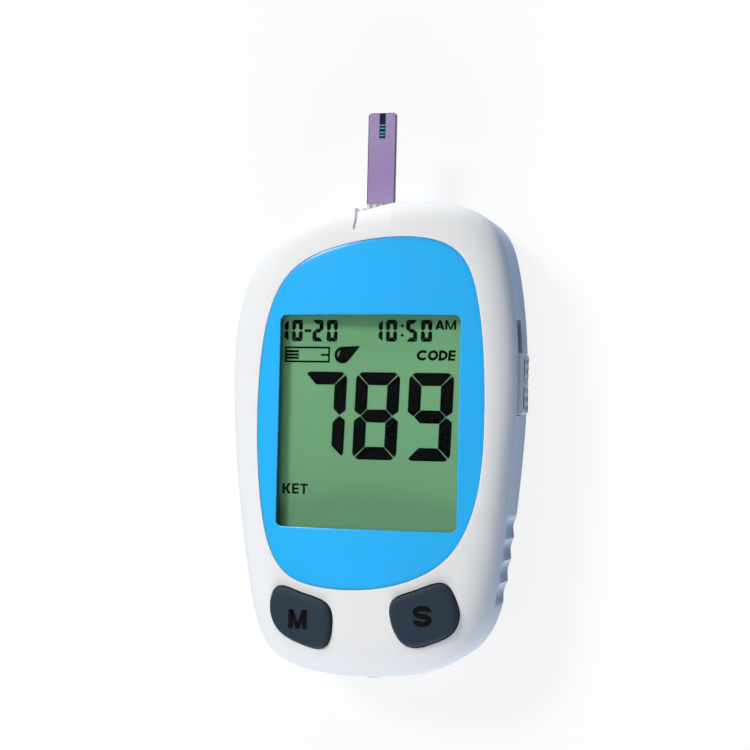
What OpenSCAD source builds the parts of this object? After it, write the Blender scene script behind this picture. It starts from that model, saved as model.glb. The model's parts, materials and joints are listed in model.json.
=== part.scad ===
// Hand-held blood glucose meter with a leaning oval body, a large display window,
// two pillow-shaped keys, a strip port at the top edge and a sliding strip ejector.
// The meter lies on its back: +X right, +Y towards the strip port, +Z out of the display.
// All sizes are in millimetres. The rest face is the plane z = 0.

/* [Housing] */
// Width of the body outline
body_width = 60; // [56:0.5:66]
// Length of the body outline, without the test strip
body_length = 96.5; // [92:0.5:104]
// Height of the crowned front above the rest face, along the centre line
face_height = 23.5; // [23.2:0.1:25]
// Height of the parting line between the two shells
seam_height = 15.9; // [15.6:0.1:16.6]
// Radius of the front's crown, which curves from side to side
crown_radius = 110; // [100:5:160]
// Wall thickness of the shells
wall = 1.6; // [1.4:0.1:1.8]
// Width of the band in which the front rolls over to the side
roll_width = 9; // [7:0.5:10]
// Radius between the rear shell's side and its back
back_radius = 4.5; // [3.5:0.5:5]

/* [Display] */
// Width of the window in the faceplate
window_width = 37.6; // [36:0.2:38]
// Height of the window in the faceplate
window_height = 42.9; // [40:0.1:43.5]
// Distance of the window's centre from the body's centre, towards the strip port
window_offset = 3.2; // [2.8:0.1:3.4]
// Thickness of the blue faceplate
faceplate_thickness = 1.2; // [1:0.05:1.25]
// Height of the display glass's front above the rest face
lcd_height = 19.3; // [19:0.1:19.4]

/* [Keys] */
// Height by which the keys stand out of the front
key_proud = 1; // [0.6:0.1:1.4]
// Travel of each key
key_travel = 0.6; // [0.3:0.1:0.8]

/* [Strip and ejector] */
// Width of the test strip
strip_width = 6; // [5.5:0.1:6.2]
// Length of the test strip
strip_length = 32; // [31:0.5:34]
// Height of the test strip's middle above the rest face
strip_height = 14.9; // [14.85:0.05:14.95]
// Length of the ejector's thumb piece
slider_length = 12.4; // [11:0.1:12.6]
// Travel of the ejector
eject_travel = 6.5; // [5:0.5:7]
// Number of ribs across the thumb piece
slider_ribs = 7; // [5:1:9]

/* [Batteries] */
// Diameter of an AAA cell
cell_diameter = 10.5; // [10:0.1:10.5]
// Length of an AAA cell with its terminal
cell_length = 44.5; // [43.5:0.1:44.6]

/* [Hidden] */

// Control points of the outlines, in millimetres from the body's centre. Each outline is a
// closed cubic spline, so the curve runs a little inside its points.
body_points = [[30.2, 11], [27.6, 37], [22.4, 50.4], [-28.5, 46], [-31.9, 10.3],
    [-25.7, -33.2], [-21.5, -46.2], [-4.7, -49], [23.8, -46.6], [26.7, -23]];
panel_points = [[24.4, 7.8], [22.5, 30.4], [17.3, 42], [-10.9, 39.1], [-24.8, 28.9],
    [-23.4, -23.8], [-12.6, -32.1], [22.8, -28.8]];
// The keys' outlines are given from each key's own centre
set_key_points = [[6, 3.5], [4, 7.5], [-2.3, 4.1], [-8.3, 3], [-4.4, -7.9], [2.3, -5.1],
    [5.6, -3.8], [7.2, 0]];
memory_key_points = [[-5, -3.2], [-1.1, -4.9], [6, -6.9], [6.9, -1], [6.5, 3.6], [-0.5, 4.7],
    [-6, 7.2], [-7.3, 0.8]];
set_key_centre = [12.9, -34.6];
memory_key_centre = [-12.6, -36.3];
drawn_width = 60;
drawn_length = 96.5;
stretch = [body_width / drawn_width, body_length / drawn_length];

// Rings and profiles
ring_count = 96;
spline_steps = 12;
key_steps = 6;
roll_power = 2.4;
seam_groove = 0.25;
fine = 96;

// Front pocket for the faceplate
pocket_depth = faceplate_thickness + 0.25;
pocket_floor = 1.2;
pocket_rim = 1.2;
lens_size = [window_width + 2.4, window_height + 2.4];
lens_thickness = 0.8;
lens_gap = 0.3;

// Recess at the strip port, in which the front lies deeper: its depth at the upper and at the
// lower end of the roll, the thickness behind it, and control points of its outline
port_centre = [0, 47.6];
port_lean = 7;
port_depth = [0.8, 1.1];
port_backing = 1.4;
port_points = [[-3.6, 40.9], [0.3, 41.7], [4.3, 41.9], [3.95, 44.2], [3.95, 47], [3.95, 51],
    [0, 53], [-6.5, 52], [-5.6, 48.3], [-3.2, 45.2], [-3.3, 43.2]];

// Battery bay, cells and door
cell_x = 5.55;
cell_z = 6.9;
cell_nub = 0.8;
bay_half_width = 11.35;
bay_y = [-41.2, 9.2];
bay_ceiling = 12.35;
bay_wall = 1.2;
door_y = [-40.7, 9.5];
door_half_width = 12.1;
door_thickness = 1.4;
door_gap = 0.2;
hook_x = [8.9, 11.2];
tongue_width = 9;
tongue_length = 7;

// Circuit board
board_z = 13.3;
board_thickness = 1;
board_top = board_z + board_thickness;
board_inset = 2.3;
board_posts = [[-9.5, 27], [9, 43]];

// Strip and its port
strip_thickness = 0.35;
film_thickness = 0.15;
strip_tip = 66.7;
strip_end = strip_tip - strip_length;
film_start = 48;
strip_bottom = strip_height - strip_thickness / 2;
strip_top = strip_bottom + strip_thickness;

// Ejector
slider_y = 5.3;
slider_z = [10.3, 14.3];
slot_gap = 0.25;
arm_z = [11.4, 12.8];
finger_y = [33.2, strip_end - 0.3];
spring_axis = [17.8, 9.2];
spring_y = [24.1, 39];

// Screws, which hold the shells together from the back
screw_places = [[17.8, 42], [-17, 37.5], [-20.4, -25.6], [20.2, -25]];
screw_head_radius = 1.7;
screw_shank_radius = 0.8;
screw_seat = 8;
boss_radius = 2.9;
boss_foot = 1.7;
boss_joint = 13.8;

white = [0.94, 0.945, 0.945];
grey = [0.6, 0.62, 0.68];

// ---------------------------------------------------------------- curves and rings

// Point of a uniform cubic spline through the closed list p, at step k and fraction t
function spline_point(p, k, t) =
    let (n = len(p), a = p[(k + n - 1) % n], b = p[k], c = p[(k + 1) % n], d = p[(k + 2) % n])
    ((1 - t) ^ 3 * a + (3 * t ^ 3 - 6 * t ^ 2 + 4) * b
        + (-3 * t ^ 3 + 3 * t ^ 2 + 3 * t + 1) * c + t ^ 3 * d) / 6;

function closed_spline(p, steps) =
    [for (k = [0 : len(p) - 1], i = [0 : steps - 1]) spline_point(p, k, i / steps)];

// Outlines whose points are all seen from the centre at the same angles, so that they can be
// joined ring to ring
function cross2(a, b) = a.x * b.y - a.y * b.x;
function reach(curve, way) =
    max([for (i = [0 : len(curve) - 1])
        let (p = curve[i], edge = curve[(i + 1) % len(curve)] - p, across = cross2(way, edge))
        if (abs(across) > 1e-9)
            let (s = cross2(p, edge) / across, t = cross2(p, way) / across)
            if (t >= -1e-9 && t <= 1 + 1e-9) s]);
function ring_way(i) =
    let (t = 360 * i / ring_count, v = [body_width * cos(t), body_length * sin(t)]) v / norm(v);
function ring(curve) = [for (i = [0 : ring_count - 1]) ring_way(i) * reach(curve, ring_way(i))];

function normal_at(r, i) =
    let (n = len(r), e = r[(i + 1) % n] - r[(i + n - 1) % n]) [e.y, -e.x] / norm(e);
function inset(r, d) = [for (i = [0 : len(r) - 1]) r[i] - normal_at(r, i) * d];
function scaled(p, s) = [for (v = p) [v.x * s.x, v.y * s.y]];

body_ring = ring(closed_spline(scaled(body_points, stretch), spline_steps));
panel_ring = ring(closed_spline(scaled(panel_points, stretch), spline_steps));

// Height of the crowned front over a place x
function crown(x) = face_height - crown_radius + sqrt(crown_radius ^ 2 - x ^ 2);

function level(r, z) = [for (p = r) [p.x, p.y, z]];
function on_crown(r, drop) = [for (p = r) [p.x, p.y, crown(p.x) - drop]];

// Ring at the angle a of the roll from the front (0) over to the side (90). The roll is a
// superellipse between the crown and the seam, within roll_width of the outer ring.
function roll_ring(inner, outer, width, drop, low, a) =
    [for (i = [0 : len(outer) - 1])
        let (span = inner[i] - outer[i], d = norm(span), w = min(d, width),
            p = outer[i] + span / d * w * (1 - sin(a) ^ (2 / roll_power)),
            top = crown(p.x) - drop)
        [p.x, p.y, low + (top - low) * cos(a) ^ (2 / roll_power)]];

function rounded_rectangle(w, h, r, y) =
    [for (k = [0 : 3], i = [0 : 4])
        let (a = 90 * k + 22.5 * i, c = [(k == 0 || k == 3 ? 1 : -1) * (w / 2 - r),
            (k < 2 ? 1 : -1) * (h / 2 - r) + y])
        c + r * [cos(a), sin(a)]];

// Solid through a list of rings, from the lowest up; a loop joins the last to the first
module loft(rings, loop = false) {
    n = len(rings[0]);
    m = len(rings);
    points = [for (r = rings) each r];
    sides = [for (j = [0 : loop ? m - 1 : m - 2], i = [0 : n - 1])
        let (k = (j + 1) % m, h = (i + 1) % n, a = j * n + i, b = j * n + h, c = k * n + h, d = k * n + i)
        each [[a, c, b], [a, d, c]]];
    caps = loop ? [] : [[for (i = [0 : n - 1]) i], [for (i = [n - 1 : -1 : 0]) (m - 1) * n + i]];
    polyhedron(points = points, faces = concat(sides, caps), convexity = 8);
}

// Slab that follows the crown, between two depths below it
module crowned_slab(top, bottom) {
    translate([0, 0, face_height - crown_radius]) rotate([90, 0, 0]) difference() {
        cylinder(r = crown_radius - top, h = 2 * body_length, center = true, $fn = 360);
        cylinder(r = crown_radius - bottom, h = 3 * body_length, center = true, $fn = 360);
    }
}

module prism(outline, z0, z1) {
    translate([0, 0, z0]) linear_extrude(z1 - z0) polygon(outline);
}

module block(from, to) {
    translate(from) cube(to - from);
}

module post(place, z0, z1, radius) {
    translate([place.x, place.y, z0]) cylinder(r = radius, h = z1 - z0, $fn = fine);
}

// Bar along Y
module rod(place, y0, y1, radius) {
    translate([place.x, y0, place.y]) rotate([-90, 0, 0])
        cylinder(r = radius, h = y1 - y0, $fn = fine);
}

// Round wire along a list of points, with square ends
module wire(path, radius, sides = 6) {
    n = len(path);
    rings = [for (i = [0 : n - 1])
        let (e = path[min(i + 1, n - 1)] - path[max(i - 1, 0)], t = e / norm(e),
            side = cross(t, abs(t.y) > 0.9 ? [0, 0, 1] : [0, 1, 0]), u = side / norm(side), v = cross(t, u))
        [for (k = [0 : sides - 1]) path[i] + radius * (u * cos(360 * k / sides) - v * sin(360 * k / sides))]];
    loft([for (i = [n - 1 : -1 : 0]) rings[i]]);
}

// ---------------------------------------------------------------- housing

// Line that follows the roll from the angle first down to the parting line, further in by
// depth[0] at the top and by depth[1] at the side: distance from the outline, and height
function port_line(depth, first) =
    let (low = seam_height + seam_groove)
    concat([for (a = [first : 9 : 90])
        [-depth[1] - (roll_width - depth[1]) * (1 - sin(a) ^ (2 / roll_power)),
            low + (face_height - depth[0] - low) * cos(a) ^ (2 / roll_power)]],
        [[-depth[1], seam_height]]);
function turned_back(p) = [for (i = [len(p) - 1 : -1 : 0]) p[i]];

// Extrusion along the outline at the port, of a shape that is drawn outwards and upwards
module along_port(shape, width) {
    translate(port_centre) rotate([90, 0, 90 + port_lean]) translate([0, 0, -width / 2])
        linear_extrude(width) polygon(shape);
}

// White front shell: a rolled rim round a pocket, whose floor is open behind the window
module front_shell() {
    inner_body = inset(body_ring, wall);
    pocket_outside = inset(panel_ring, -pocket_rim);
    opening = ring(rounded_rectangle(lens_size.x + 2 * lens_gap, lens_size.y + 2 * lens_gap, 1,
        window_offset));
    under = pocket_depth + pocket_floor;
    low = seam_height + seam_groove;
    color(white) difference() {
        union() {
            loft(concat(
                [level(inset(body_ring, seam_groove), seam_height)],
                [for (a = [90 : -9 : 0]) roll_ring(panel_ring, body_ring, roll_width, 0, low, a)],
                [on_crown(inset(panel_ring, -0.1), 0.02), on_crown(panel_ring, 0.15),
                    on_crown(panel_ring, pocket_depth), on_crown(opening, pocket_depth),
                    on_crown(opening, under), on_crown(pocket_outside, under)],
                [for (a = [0 : 22.5 : 90])
                    roll_ring(pocket_outside, inner_body, roll_width - wall, wall, seam_height, a)]
            ), loop = true);
            // Backing of the port's recess
            along_port(concat(port_line(port_depth, 18),
                turned_back(port_line([for (d = port_depth) d + port_backing], 18))), 11);
            for (p = screw_places) post(p, boss_joint, 20, 2.2);
        }
        intersection() {
            prism(closed_spline(port_points, key_steps), 14, 30);
            along_port(concat([[-roll_width, 31]], port_line(port_depth, 0),
                [[-port_depth[1], 13], [6, 13], [6, 31]]), 16);
        }
        prism(placed_key(set_key_points, set_key_centre, 0.25), 15, 30);
        prism(placed_key(memory_key_points, memory_key_centre, 0.25), 15, 30);
        for (p = screw_places) post(p, boss_joint - 1, 19, screw_shank_radius + 0.05);
    }
}

// Rear shell: a tub with a battery bay, screw wells, an ejector slot and thumb grips
module rear_shell() {
    draft = 0.1;
    grip_pitch = 4.46;
    grip_depth = 0.6;
    grip_radius = 4.4;
    grip_top = 14.7;
    color(white) difference() {
        union() {
            loft(concat(
                [for (a = [90 : -15 : 0])
                    level(inset(body_ring, draft + back_radius * (1 - cos(a))),
                        back_radius * (1 - sin(a)))],
                [level(inset(body_ring, draft / 2), 10), level(body_ring, seam_height - 0.4),
                    level(inset(body_ring, seam_groove), seam_height),
                    level(inset(body_ring, wall), seam_height)],
                [for (a = [0 : 22.5 : 90])
                    level(inset(body_ring, wall + draft + (back_radius - 1) * (1 - cos(a))),
                        wall + (back_radius - 1) * (1 - sin(a)))]
            ));
            // Walls and ceiling of the battery bay
            difference() {
                block([-bay_half_width - bay_wall, bay_y[0] - bay_wall, 1],
                    [bay_half_width + bay_wall, bay_y[1] + bay_wall, board_z]);
                block([-bay_half_width, bay_y[0], 0], [bay_half_width, bay_y[1], bay_ceiling]);
            }
            // Pry tab at the bottom edge
            intersection() {
                translate([0.4, -44.4, 9]) cylinder(r = 4.2, h = 6, $fn = fine);
                block([-6, -60, 9], [6, -46, 15]);
            }
            for (p = screw_places) post(p, boss_foot, boss_joint, boss_radius);
            for (p = board_posts) post(p, 1, board_z, 1.3);
        }
        // Opening under the battery door, and pockets for the door's hooks
        prism(rounded_rectangle(2 * (door_half_width + door_gap), door_y[1] - door_y[0] + 2 * door_gap,
            2, (door_y[0] + door_y[1]) / 2), -1, wall);
        for (s = [-1, 1])
            block([s * (hook_x[0] + hook_x[1]) / 2 - 1.5, bay_y[0] - 1.8, wall],
                [s * (hook_x[0] + hook_x[1]) / 2 + 1.5, bay_y[0] + 1, 3.8]);
        for (p = screw_places) {
            post(p, -1, screw_seat, screw_head_radius + 0.3);
            post(p, -1, boss_joint + 1, screw_shank_radius + 0.3);
        }
        // Slot of the ejector, in the right wall
        block([24, slider_y - slot_gap, slider_z[0] - slot_gap],
            [34, slider_y + slider_length + eject_travel + slot_gap, slider_z[1] + slot_gap]);
        // Slot of the test strip, in the top edge
        block([-strip_width / 2 - 0.4, 40, strip_bottom - 0.35], [strip_width / 2 + 0.4, 52, 20]);
        // Thumb grips: a row of shallow scallops with a ridge between each two
        for (side = [-1, 1], k = [0 : 3]) {
            y = -17.4 - grip_pitch * k;
            x = side * reach(body_ring, [side * 26, y] / norm([26, y]))
                * 26 / norm([26, y]);
            translate([x + side * (grip_radius - grip_depth), y, -1])
                cylinder(r = grip_radius, h = grip_top + 1, $fn = fine);
        }
    }
}

// Blue faceplate, bonded into the front shell's pocket
module faceplate() {
    color([0.2, 0.7, 0.97]) intersection() {
        crowned_slab(0.2, 0.2 + faceplate_thickness);
        difference() {
            prism(inset(panel_ring, 0.08), 10, 30);
            prism(rounded_rectangle(window_width, window_height, 0.9, window_offset), 5, 35);
        }
    }
}

// Clear window lens, bonded behind the faceplate
module window_lens() {
    color([0.85, 0.9, 0.9, 0.3]) intersection() {
        crowned_slab(0.25 + faceplate_thickness, 0.25 + faceplate_thickness + lens_thickness);
        prism(rounded_rectangle(lens_size.x, lens_size.y, 1.7, window_offset), 10, 30);
    }
}

// ---------------------------------------------------------------- display

lcd_half = [window_width / 2 + 1, window_height / 2 + 1.1];
lcd_thickness = 1.8;
lcd_bottom = lcd_height - lcd_thickness;

// Two bonded glasses; the lower one is longer and carries the contacts
module lcd_glass() {
    color([0.55, 0.7, 0.56]) {
        block([-lcd_half.x, window_offset - lcd_half.y - 2, lcd_bottom],
            [lcd_half.x, window_offset + lcd_half.y, lcd_bottom + 0.8]);
        block([-lcd_half.x, window_offset - lcd_half.y, lcd_bottom + 0.8],
            [lcd_half.x, window_offset + lcd_half.y, lcd_height - 0.2]);
    }
}

module lcd_polarizer() {
    color([0.45, 0.68, 0.48])
        block([-lcd_half.x + 0.3, window_offset - lcd_half.y + 0.3, lcd_height - 0.2],
            [lcd_half.x - 0.3, window_offset + lcd_half.y - 0.3, lcd_height]);
}

// Frame that carries the glass over the board
module lcd_holder() {
    low = window_offset - lcd_half.y - 3.2;
    high = window_offset + lcd_half.y + 1.2;
    color([0.85, 0.86, 0.86]) difference() {
        block([-lcd_half.x - 1.2, low, board_top], [lcd_half.x + 1.2, high, lcd_bottom + 0.8]);
        block([-lcd_half.x - 0.1, low + 1.1, lcd_bottom],
            [lcd_half.x + 0.1, high - 1.1, lcd_bottom + 2]);
        block([-lcd_half.x + 1.2, low + 5.6, board_top - 1], [lcd_half.x - 1.2, high - 2.4, lcd_bottom + 1]);
        block([-lcd_half.x + 1.2, low + 1.5, board_top - 1], [lcd_half.x - 1.2, low + 4.2, lcd_bottom + 1]);
    }
}

// Rubber strip that joins the glass's contacts to the board
module zebra_connector() {
    color([0.75, 0.5, 0.55])
        block([-lcd_half.x + 1.4, window_offset - lcd_half.y - 1.6, board_top],
            [lcd_half.x - 1.4, window_offset - lcd_half.y + 0.6, lcd_bottom]);
}

// ---------------------------------------------------------------- electronics

module circuit_board() {
    color([0.1, 0.42, 0.25]) difference() {
        prism(inset(body_ring, board_inset), board_z, board_top);
        for (p = screw_places) post(p, board_z - 1, board_top + 1, boss_radius + 0.3);
        // Room for the ejector's flange and for its finger
        block([24.6, 1, board_z - 1], [35, 28, board_top + 1]);
        block([-2, finger_y[0] - 0.5, board_z - 1], [2, finger_y[1] + eject_travel + 0.5, board_top + 1]);
    }
}

// Flat chip with legs along two or four of its sides
module chip(place, body, height, legs, four_sided) {
    pitch = body.x / (legs + 1);
    translate([place.x, place.y, board_top]) {
        color([0.1, 0.1, 0.11]) block([-body.x / 2, -body.y / 2, 0.15], [body.x / 2, body.y / 2, height]);
        color([0.75, 0.75, 0.77]) for (turn = four_sided ? [0, 90, 180, 270] : [0, 180], i = [1 : legs])
            rotate(turn) translate([-body.x / 2 + pitch * i, body.y / 2, 0])
                block([-pitch / 5, -0.4, 0], [pitch / 5, 0.9, 0.3]);
    }
}

module microcontroller() {
    chip([2, 4], [10, 10], 1.4, 12, true);
}

module memory_chip() {
    chip([-12, 14], [5, 4], 1.4, 4, false);
}

// Watch crystal in a round can, lying on the board
module crystal() {
    color([0.8, 0.8, 0.8]) rod([12, board_top + 1.02], 8, 14.2, 1);
}

module chip_capacitors() {
    color([0.7, 0.6, 0.45]) for (i = [0 : 4]) {
        block([-12 + 3.2 * i, -9, board_top], [-10.4 + 3.2 * i, -8.2, board_top + 0.8]);
        block([9 + 2.4 * (i % 3), -3 + 3 * floor(i / 3), board_top],
            [9.8 + 2.4 * (i % 3), -1.4 + 3 * floor(i / 3), board_top + 0.8]);
    }
}

// Round sounder with a hole in its lid
module buzzer() {
    color([0.12, 0.12, 0.13]) difference() {
        post([-10.8, 34], board_top, board_top + 2.2, 3.9);
        post([-10.8, 34], board_top + 1.2, board_top + 3, 0.7);
    }
}

// Housing of the strip port: rails under and beside the strip, and a roof with contact windows
module strip_connector() {
    rear = strip_end + 0.8;
    front = 44.3;
    channel = strip_width / 2 + 0.25;
    color([0.13, 0.13, 0.14]) difference() {
        block([-5.2, rear, board_top], [5.2, front, board_top + 2.5]);
        block([-channel, rear - 1, strip_bottom - 0.06], [channel, front + 1, strip_top + 0.35]);
        // Path of the ejector's finger
        block([-1.8, rear - 1, board_top - 1], [1.8, finger_y[1] + eject_travel + 0.4, strip_top + 0.35]);
        for (i = [0 : 3])
            block([-2.6 + 1.4 * i, rear + 2, strip_top], [-1.6 + 1.4 * i, front - 2, board_top + 3]);
    }
}

// Four sprung contacts that reach down to the strip's electrodes
module strip_contacts() {
    low = strip_top + 0.12;
    color([0.85, 0.72, 0.4]) for (i = [0 : 3])
        translate([-2.35 + 1.4 * i, 0, 0]) rotate([90, 0, 90]) linear_extrude(0.5)
            polygon([[37.5, board_top + 2.5], [37.5, board_top + 2.2], [40.2, low + 0.5], [40.8, low],
                [41.2, low], [42, low + 0.6], [41.8, low + 0.8], [41, low + 0.25], [40.5, low + 0.7],
                [38.2, board_top + 2.5]]);
}

// ---------------------------------------------------------------- keys

function placed_key(points, centre, grow) =
    [for (p = inset(closed_spline(points, key_steps), -grow)) p + centre];

// Height of the plane that touches the crown over a key's centre
function key_plane(x, centre) =
    crown(centre.x) - centre.x / sqrt(crown_radius ^ 2 - centre.x ^ 2) * (x - centre.x);

function key_ring(points, centre, edge, rise) =
    [for (p = placed_key(points, centre, -edge)) [p.x, p.y, key_plane(p.x, centre) + rise]];

key_base = 18.6;
key_flange = 0.7;
dome_height = 1.7 + key_travel;
plunger_gap = 0.1;
// Steps of the pillow edge: distance in from the outline, and height over the front
function key_steps_up() = [[0, 0.1], [0.08, 0.45 * key_proud], [0.35, 0.75 * key_proud],
    [0.9, 0.92 * key_proud], [2, key_proud]];

// Key cap with a retaining flange and a plunger
module key_cap(points, centre) {
    color([0.2, 0.25, 0.3]) {
        loft(concat([level(placed_key(points, centre, 0), key_base)],
            [for (s = key_steps_up()) key_ring(points, centre, s[0], s[1])]));
        prism(placed_key(points, centre, 0.7), key_base, key_base + key_flange);
        post(centre, board_top + dome_height + plunger_gap, key_base + 0.1, 1.6);
    }
}

module memory_key() {
    key_cap(memory_key_points, memory_key_centre);
}

module set_key() {
    key_cap(set_key_points, set_key_centre);
}

// Rubber dome that lifts the key and closes its contact on the board
module key_dome(centre) {
    color([0.75, 0.76, 0.78]) translate([centre.x, centre.y, board_top])
        rotate_extrude($fn = fine)
            polygon([[1.2, 0.9], [1.2, 0.5], [2.6, 0.4], [3.1, 0], [4.2, 0], [4.2, 0.5], [3.4, 0.6],
                [2.1, dome_height - 0.4], [1.8, dome_height], [0, dome_height], [0, 0.9]]);
}

module memory_dome() {
    key_dome(memory_key_centre);
}

module set_dome() {
    key_dome(set_key_centre);
}

// ---------------------------------------------------------------- ejector

side_x = 29.2 * stretch.x;
flange_x = side_x - 3.9;

// Ribbed thumb piece in the slot, with a flange behind the wall
module ejector_slider() {
    face = side_x + 1.05;
    pitch = (slider_length - 1.4) / (slider_ribs - 1);
    color(grey) {
        block([flange_x, slider_y, slider_z[0]], [face, slider_y + slider_length, slider_z[1]]);
        block([flange_x, slider_y - 1.2, slider_z[0] - 0.8],
            [flange_x + 1, slider_y + slider_length + 1.2, slider_z[1] + 0.9]);
        for (i = [0 : slider_ribs - 1])
            translate([face, slider_y + 0.7 + pitch * i, slider_z[0] + 0.3])
                cylinder(r = 0.3, h = slider_z[1] - slider_z[0] - 0.6, $fn = 24);
    }
}

// Arm under the board, from the thumb piece to the inner end of the strip
module ejector_arm() {
    color([0.78, 0.79, 0.8]) {
        translate([0, 0, arm_z[0]]) linear_extrude(arm_z[1] - arm_z[0])
            polygon([[flange_x, 8], [flange_x, 14.5], [23.8, 14.5], [23.8, 31.2], [1.6, 31.2],
                [1.6, finger_y[1]], [-1.6, finger_y[1]], [-1.6, 29.4], [20.6, 29.4], [20.6, 8]]);
        block([-1.4, finger_y[0], arm_z[0]], [1.4, finger_y[1], strip_top]);
        block([spring_axis.x - 1.8, spring_y[0] - 1.4, 7.2], [20.8, spring_y[0], arm_z[1]]);
    }
}

// Return spring between the arm's lug and a screw boss
module ejector_spring() {
    turns = 9;
    steps = 12 * turns;
    coil_radius = 1.5;
    wire_radius = 0.22;
    span = spring_y[1] - spring_y[0] - 2 * wire_radius;
    color([0.8, 0.8, 0.82]) wire([for (i = [0 : steps])
        let (a = 30 * i)
        [spring_axis.x + coil_radius * cos(a), spring_y[0] + wire_radius + span * i / steps,
            spring_axis.y + coil_radius * sin(a)]], wire_radius);
}

// ---------------------------------------------------------------- test strip

module strip_base() {
    color([0.95, 0.95, 0.95])
        block([-strip_width / 2, strip_end, strip_bottom], [strip_width / 2, strip_tip, strip_top]);
}

module strip_cover() {
    color([0.63, 0.55, 0.73])
        block([-strip_width / 2, film_start, strip_top],
            [strip_width / 2, strip_tip, strip_top + film_thickness]);
}

module strip_electrodes() {
    color([0.6, 0.6, 0.6]) for (i = [0 : 3])
        block([-2.5 + 1.4 * i, strip_end + 0.3, strip_top], [-1.7 + 1.4 * i, film_start, strip_top + 0.04]);
}

// Dark sample channel at the strip's outer end
module strip_channel() {
    color([0.1, 0.17, 0.25])
        block([-0.63, strip_tip - 5.2, strip_top + film_thickness],
            [0.63, strip_tip - 0.1, strip_top + film_thickness + 0.06]);
}

// ---------------------------------------------------------------- batteries

coil_length = 4.6;
plate = 0.4;
// Room left for the bump of each plain contact, past the cell's own terminal
nub_height = bay_y[1] - bay_y[0] - 2 * plate - coil_length - cell_length;

// One cell along Y; it points towards +Y or -Y from the end of its can
module cell(x, start, way) {
    can = cell_length - cell_nub;
    color([0.25, 0.3, 0.36]) translate([x, start, cell_z]) rotate([-90 * way, 0, 0])
        rotate_extrude($fn = fine) polygon([[0, 0], [cell_diameter / 2 - 0.4, 0],
            [cell_diameter / 2, 0.4], [cell_diameter / 2, can - 0.4], [cell_diameter / 2 - 0.4, can],
            [1.9, can], [1.9, cell_length], [0, cell_length]]);
}

module battery_left() {
    cell(-cell_x, bay_y[1] - plate - coil_length, -1);
}

module battery_right() {
    cell(cell_x, bay_y[0] + plate + coil_length, 1);
}

// Conical contact spring along Y
module contact_coil(x, y0, y1) {
    turns = 3.5;
    steps = 12 * turns;
    wire_radius = 0.3;
    wire([for (i = [0 : steps])
        let (a = 30 * i, f = i / steps, r = 3.2 - 1.2 * f, way = sign(y1 - y0))
        [x + r * cos(a), y0 + way * wire_radius + (y1 - y0 - 2 * way * wire_radius) * f, cell_z + r * sin(a)]],
        wire_radius);
}

// Plate at the top of the bay that joins the two cells
module bridge_contact() {
    color([0.8, 0.8, 0.82]) {
        block([-10, bay_y[1] - plate, 3], [10, bay_y[1], 11]);
        contact_coil(-cell_x, bay_y[1] - plate + 0.1, bay_y[1] - plate - coil_length);
        rod([cell_x, cell_z], bay_y[1] - plate - nub_height, bay_y[1] - plate, 1.5);
    }
}

module positive_terminal() {
    color([0.8, 0.8, 0.82]) {
        block([-cell_x - 3.2, bay_y[0], 3.9], [-cell_x + 3.2, bay_y[0] + plate, 11]);
        rod([-cell_x, cell_z], bay_y[0] + plate, bay_y[0] + plate + nub_height, 1.5);
    }
}

module negative_terminal() {
    color([0.8, 0.8, 0.82]) {
        block([cell_x - 3.2, bay_y[0], 3.9], [cell_x + 3.2, bay_y[0] + plate, 11]);
        contact_coil(cell_x, bay_y[0] + plate - 0.1, bay_y[0] + plate + coil_length);
    }
}

// Door with two hooks at its lower edge and a snap tongue at its upper edge
module battery_door() {
    middle = (door_y[0] + door_y[1]) / 2;
    tongue = tongue_width / 2;
    color(white) {
        difference() {
            prism(rounded_rectangle(2 * door_half_width, door_y[1] - door_y[0], 1.8, middle),
                0, door_thickness);
            // Slots beside the snap tongue, and a hollow for the fingertip
            for (s = [-1, 1])
                block([s * tongue - 0.3, door_y[1] - tongue_length, -1],
                    [s * tongue + 0.3, door_y[1] + 1, door_thickness + 1]);
            translate([0, door_y[1] - 5.5, -5.2]) rotate([0, 90, 0])
                cylinder(r = 6, h = tongue_width - 2, center = true, $fn = fine);
        }
        // Snap nose
        block([-2.5, door_y[1] - 0.5, 0.9], [2.5, door_y[1] + door_gap - 0.08, door_thickness]);
        // Hooks, which pass over the edge of the rear shell's floor
        for (s = [-1, 1]) {
            near = s > 0 ? hook_x[0] : -hook_x[1];
            block([near, door_y[0], door_thickness - 0.1], [near + 2.3, door_y[0] + 1, 2.75]);
            block([near, door_y[0] - 1.9, wall + 0.2], [near + 2.3, door_y[0] + 0.1, 2.75]);
        }
        // Ribs that cradle the cells
        for (y = [-28, -16, -4]) difference() {
            block([-9.5, y, door_thickness - 0.1], [9.5, y + 1, 3.2]);
            for (s = [-1, 1]) rod([s * cell_x, cell_z], y - 1, y + 2, cell_diameter / 2 + 0.3);
        }
    }
}

// Four self-tapping pan-head screws
module housing_screws() {
    length = 9;
    color([0.7, 0.7, 0.72]) for (p = screw_places) difference() {
        union() {
            post(p, screw_seat - 1.3, screw_seat, screw_head_radius);
            post(p, screw_seat, screw_seat + length, screw_shank_radius);
        }
        for (turn = [0, 90]) translate([p.x, p.y, screw_seat - 1.3]) rotate(turn)
            cube([2, 0.4, 1], center = true);
    }
}

front_shell();
rear_shell();
faceplate();
window_lens();
lcd_glass();
lcd_polarizer();
lcd_holder();
zebra_connector();
circuit_board();
microcontroller();
memory_chip();
crystal();
chip_capacitors();
buzzer();
strip_connector();
strip_contacts();
memory_key();
set_key();
memory_dome();
set_dome();
ejector_slider();
ejector_arm();
ejector_spring();
strip_base();
strip_cover();
strip_electrodes();
strip_channel();
battery_left();
battery_right();
bridge_contact();
positive_terminal();
negative_terminal();
battery_door();
housing_screws();
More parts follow.
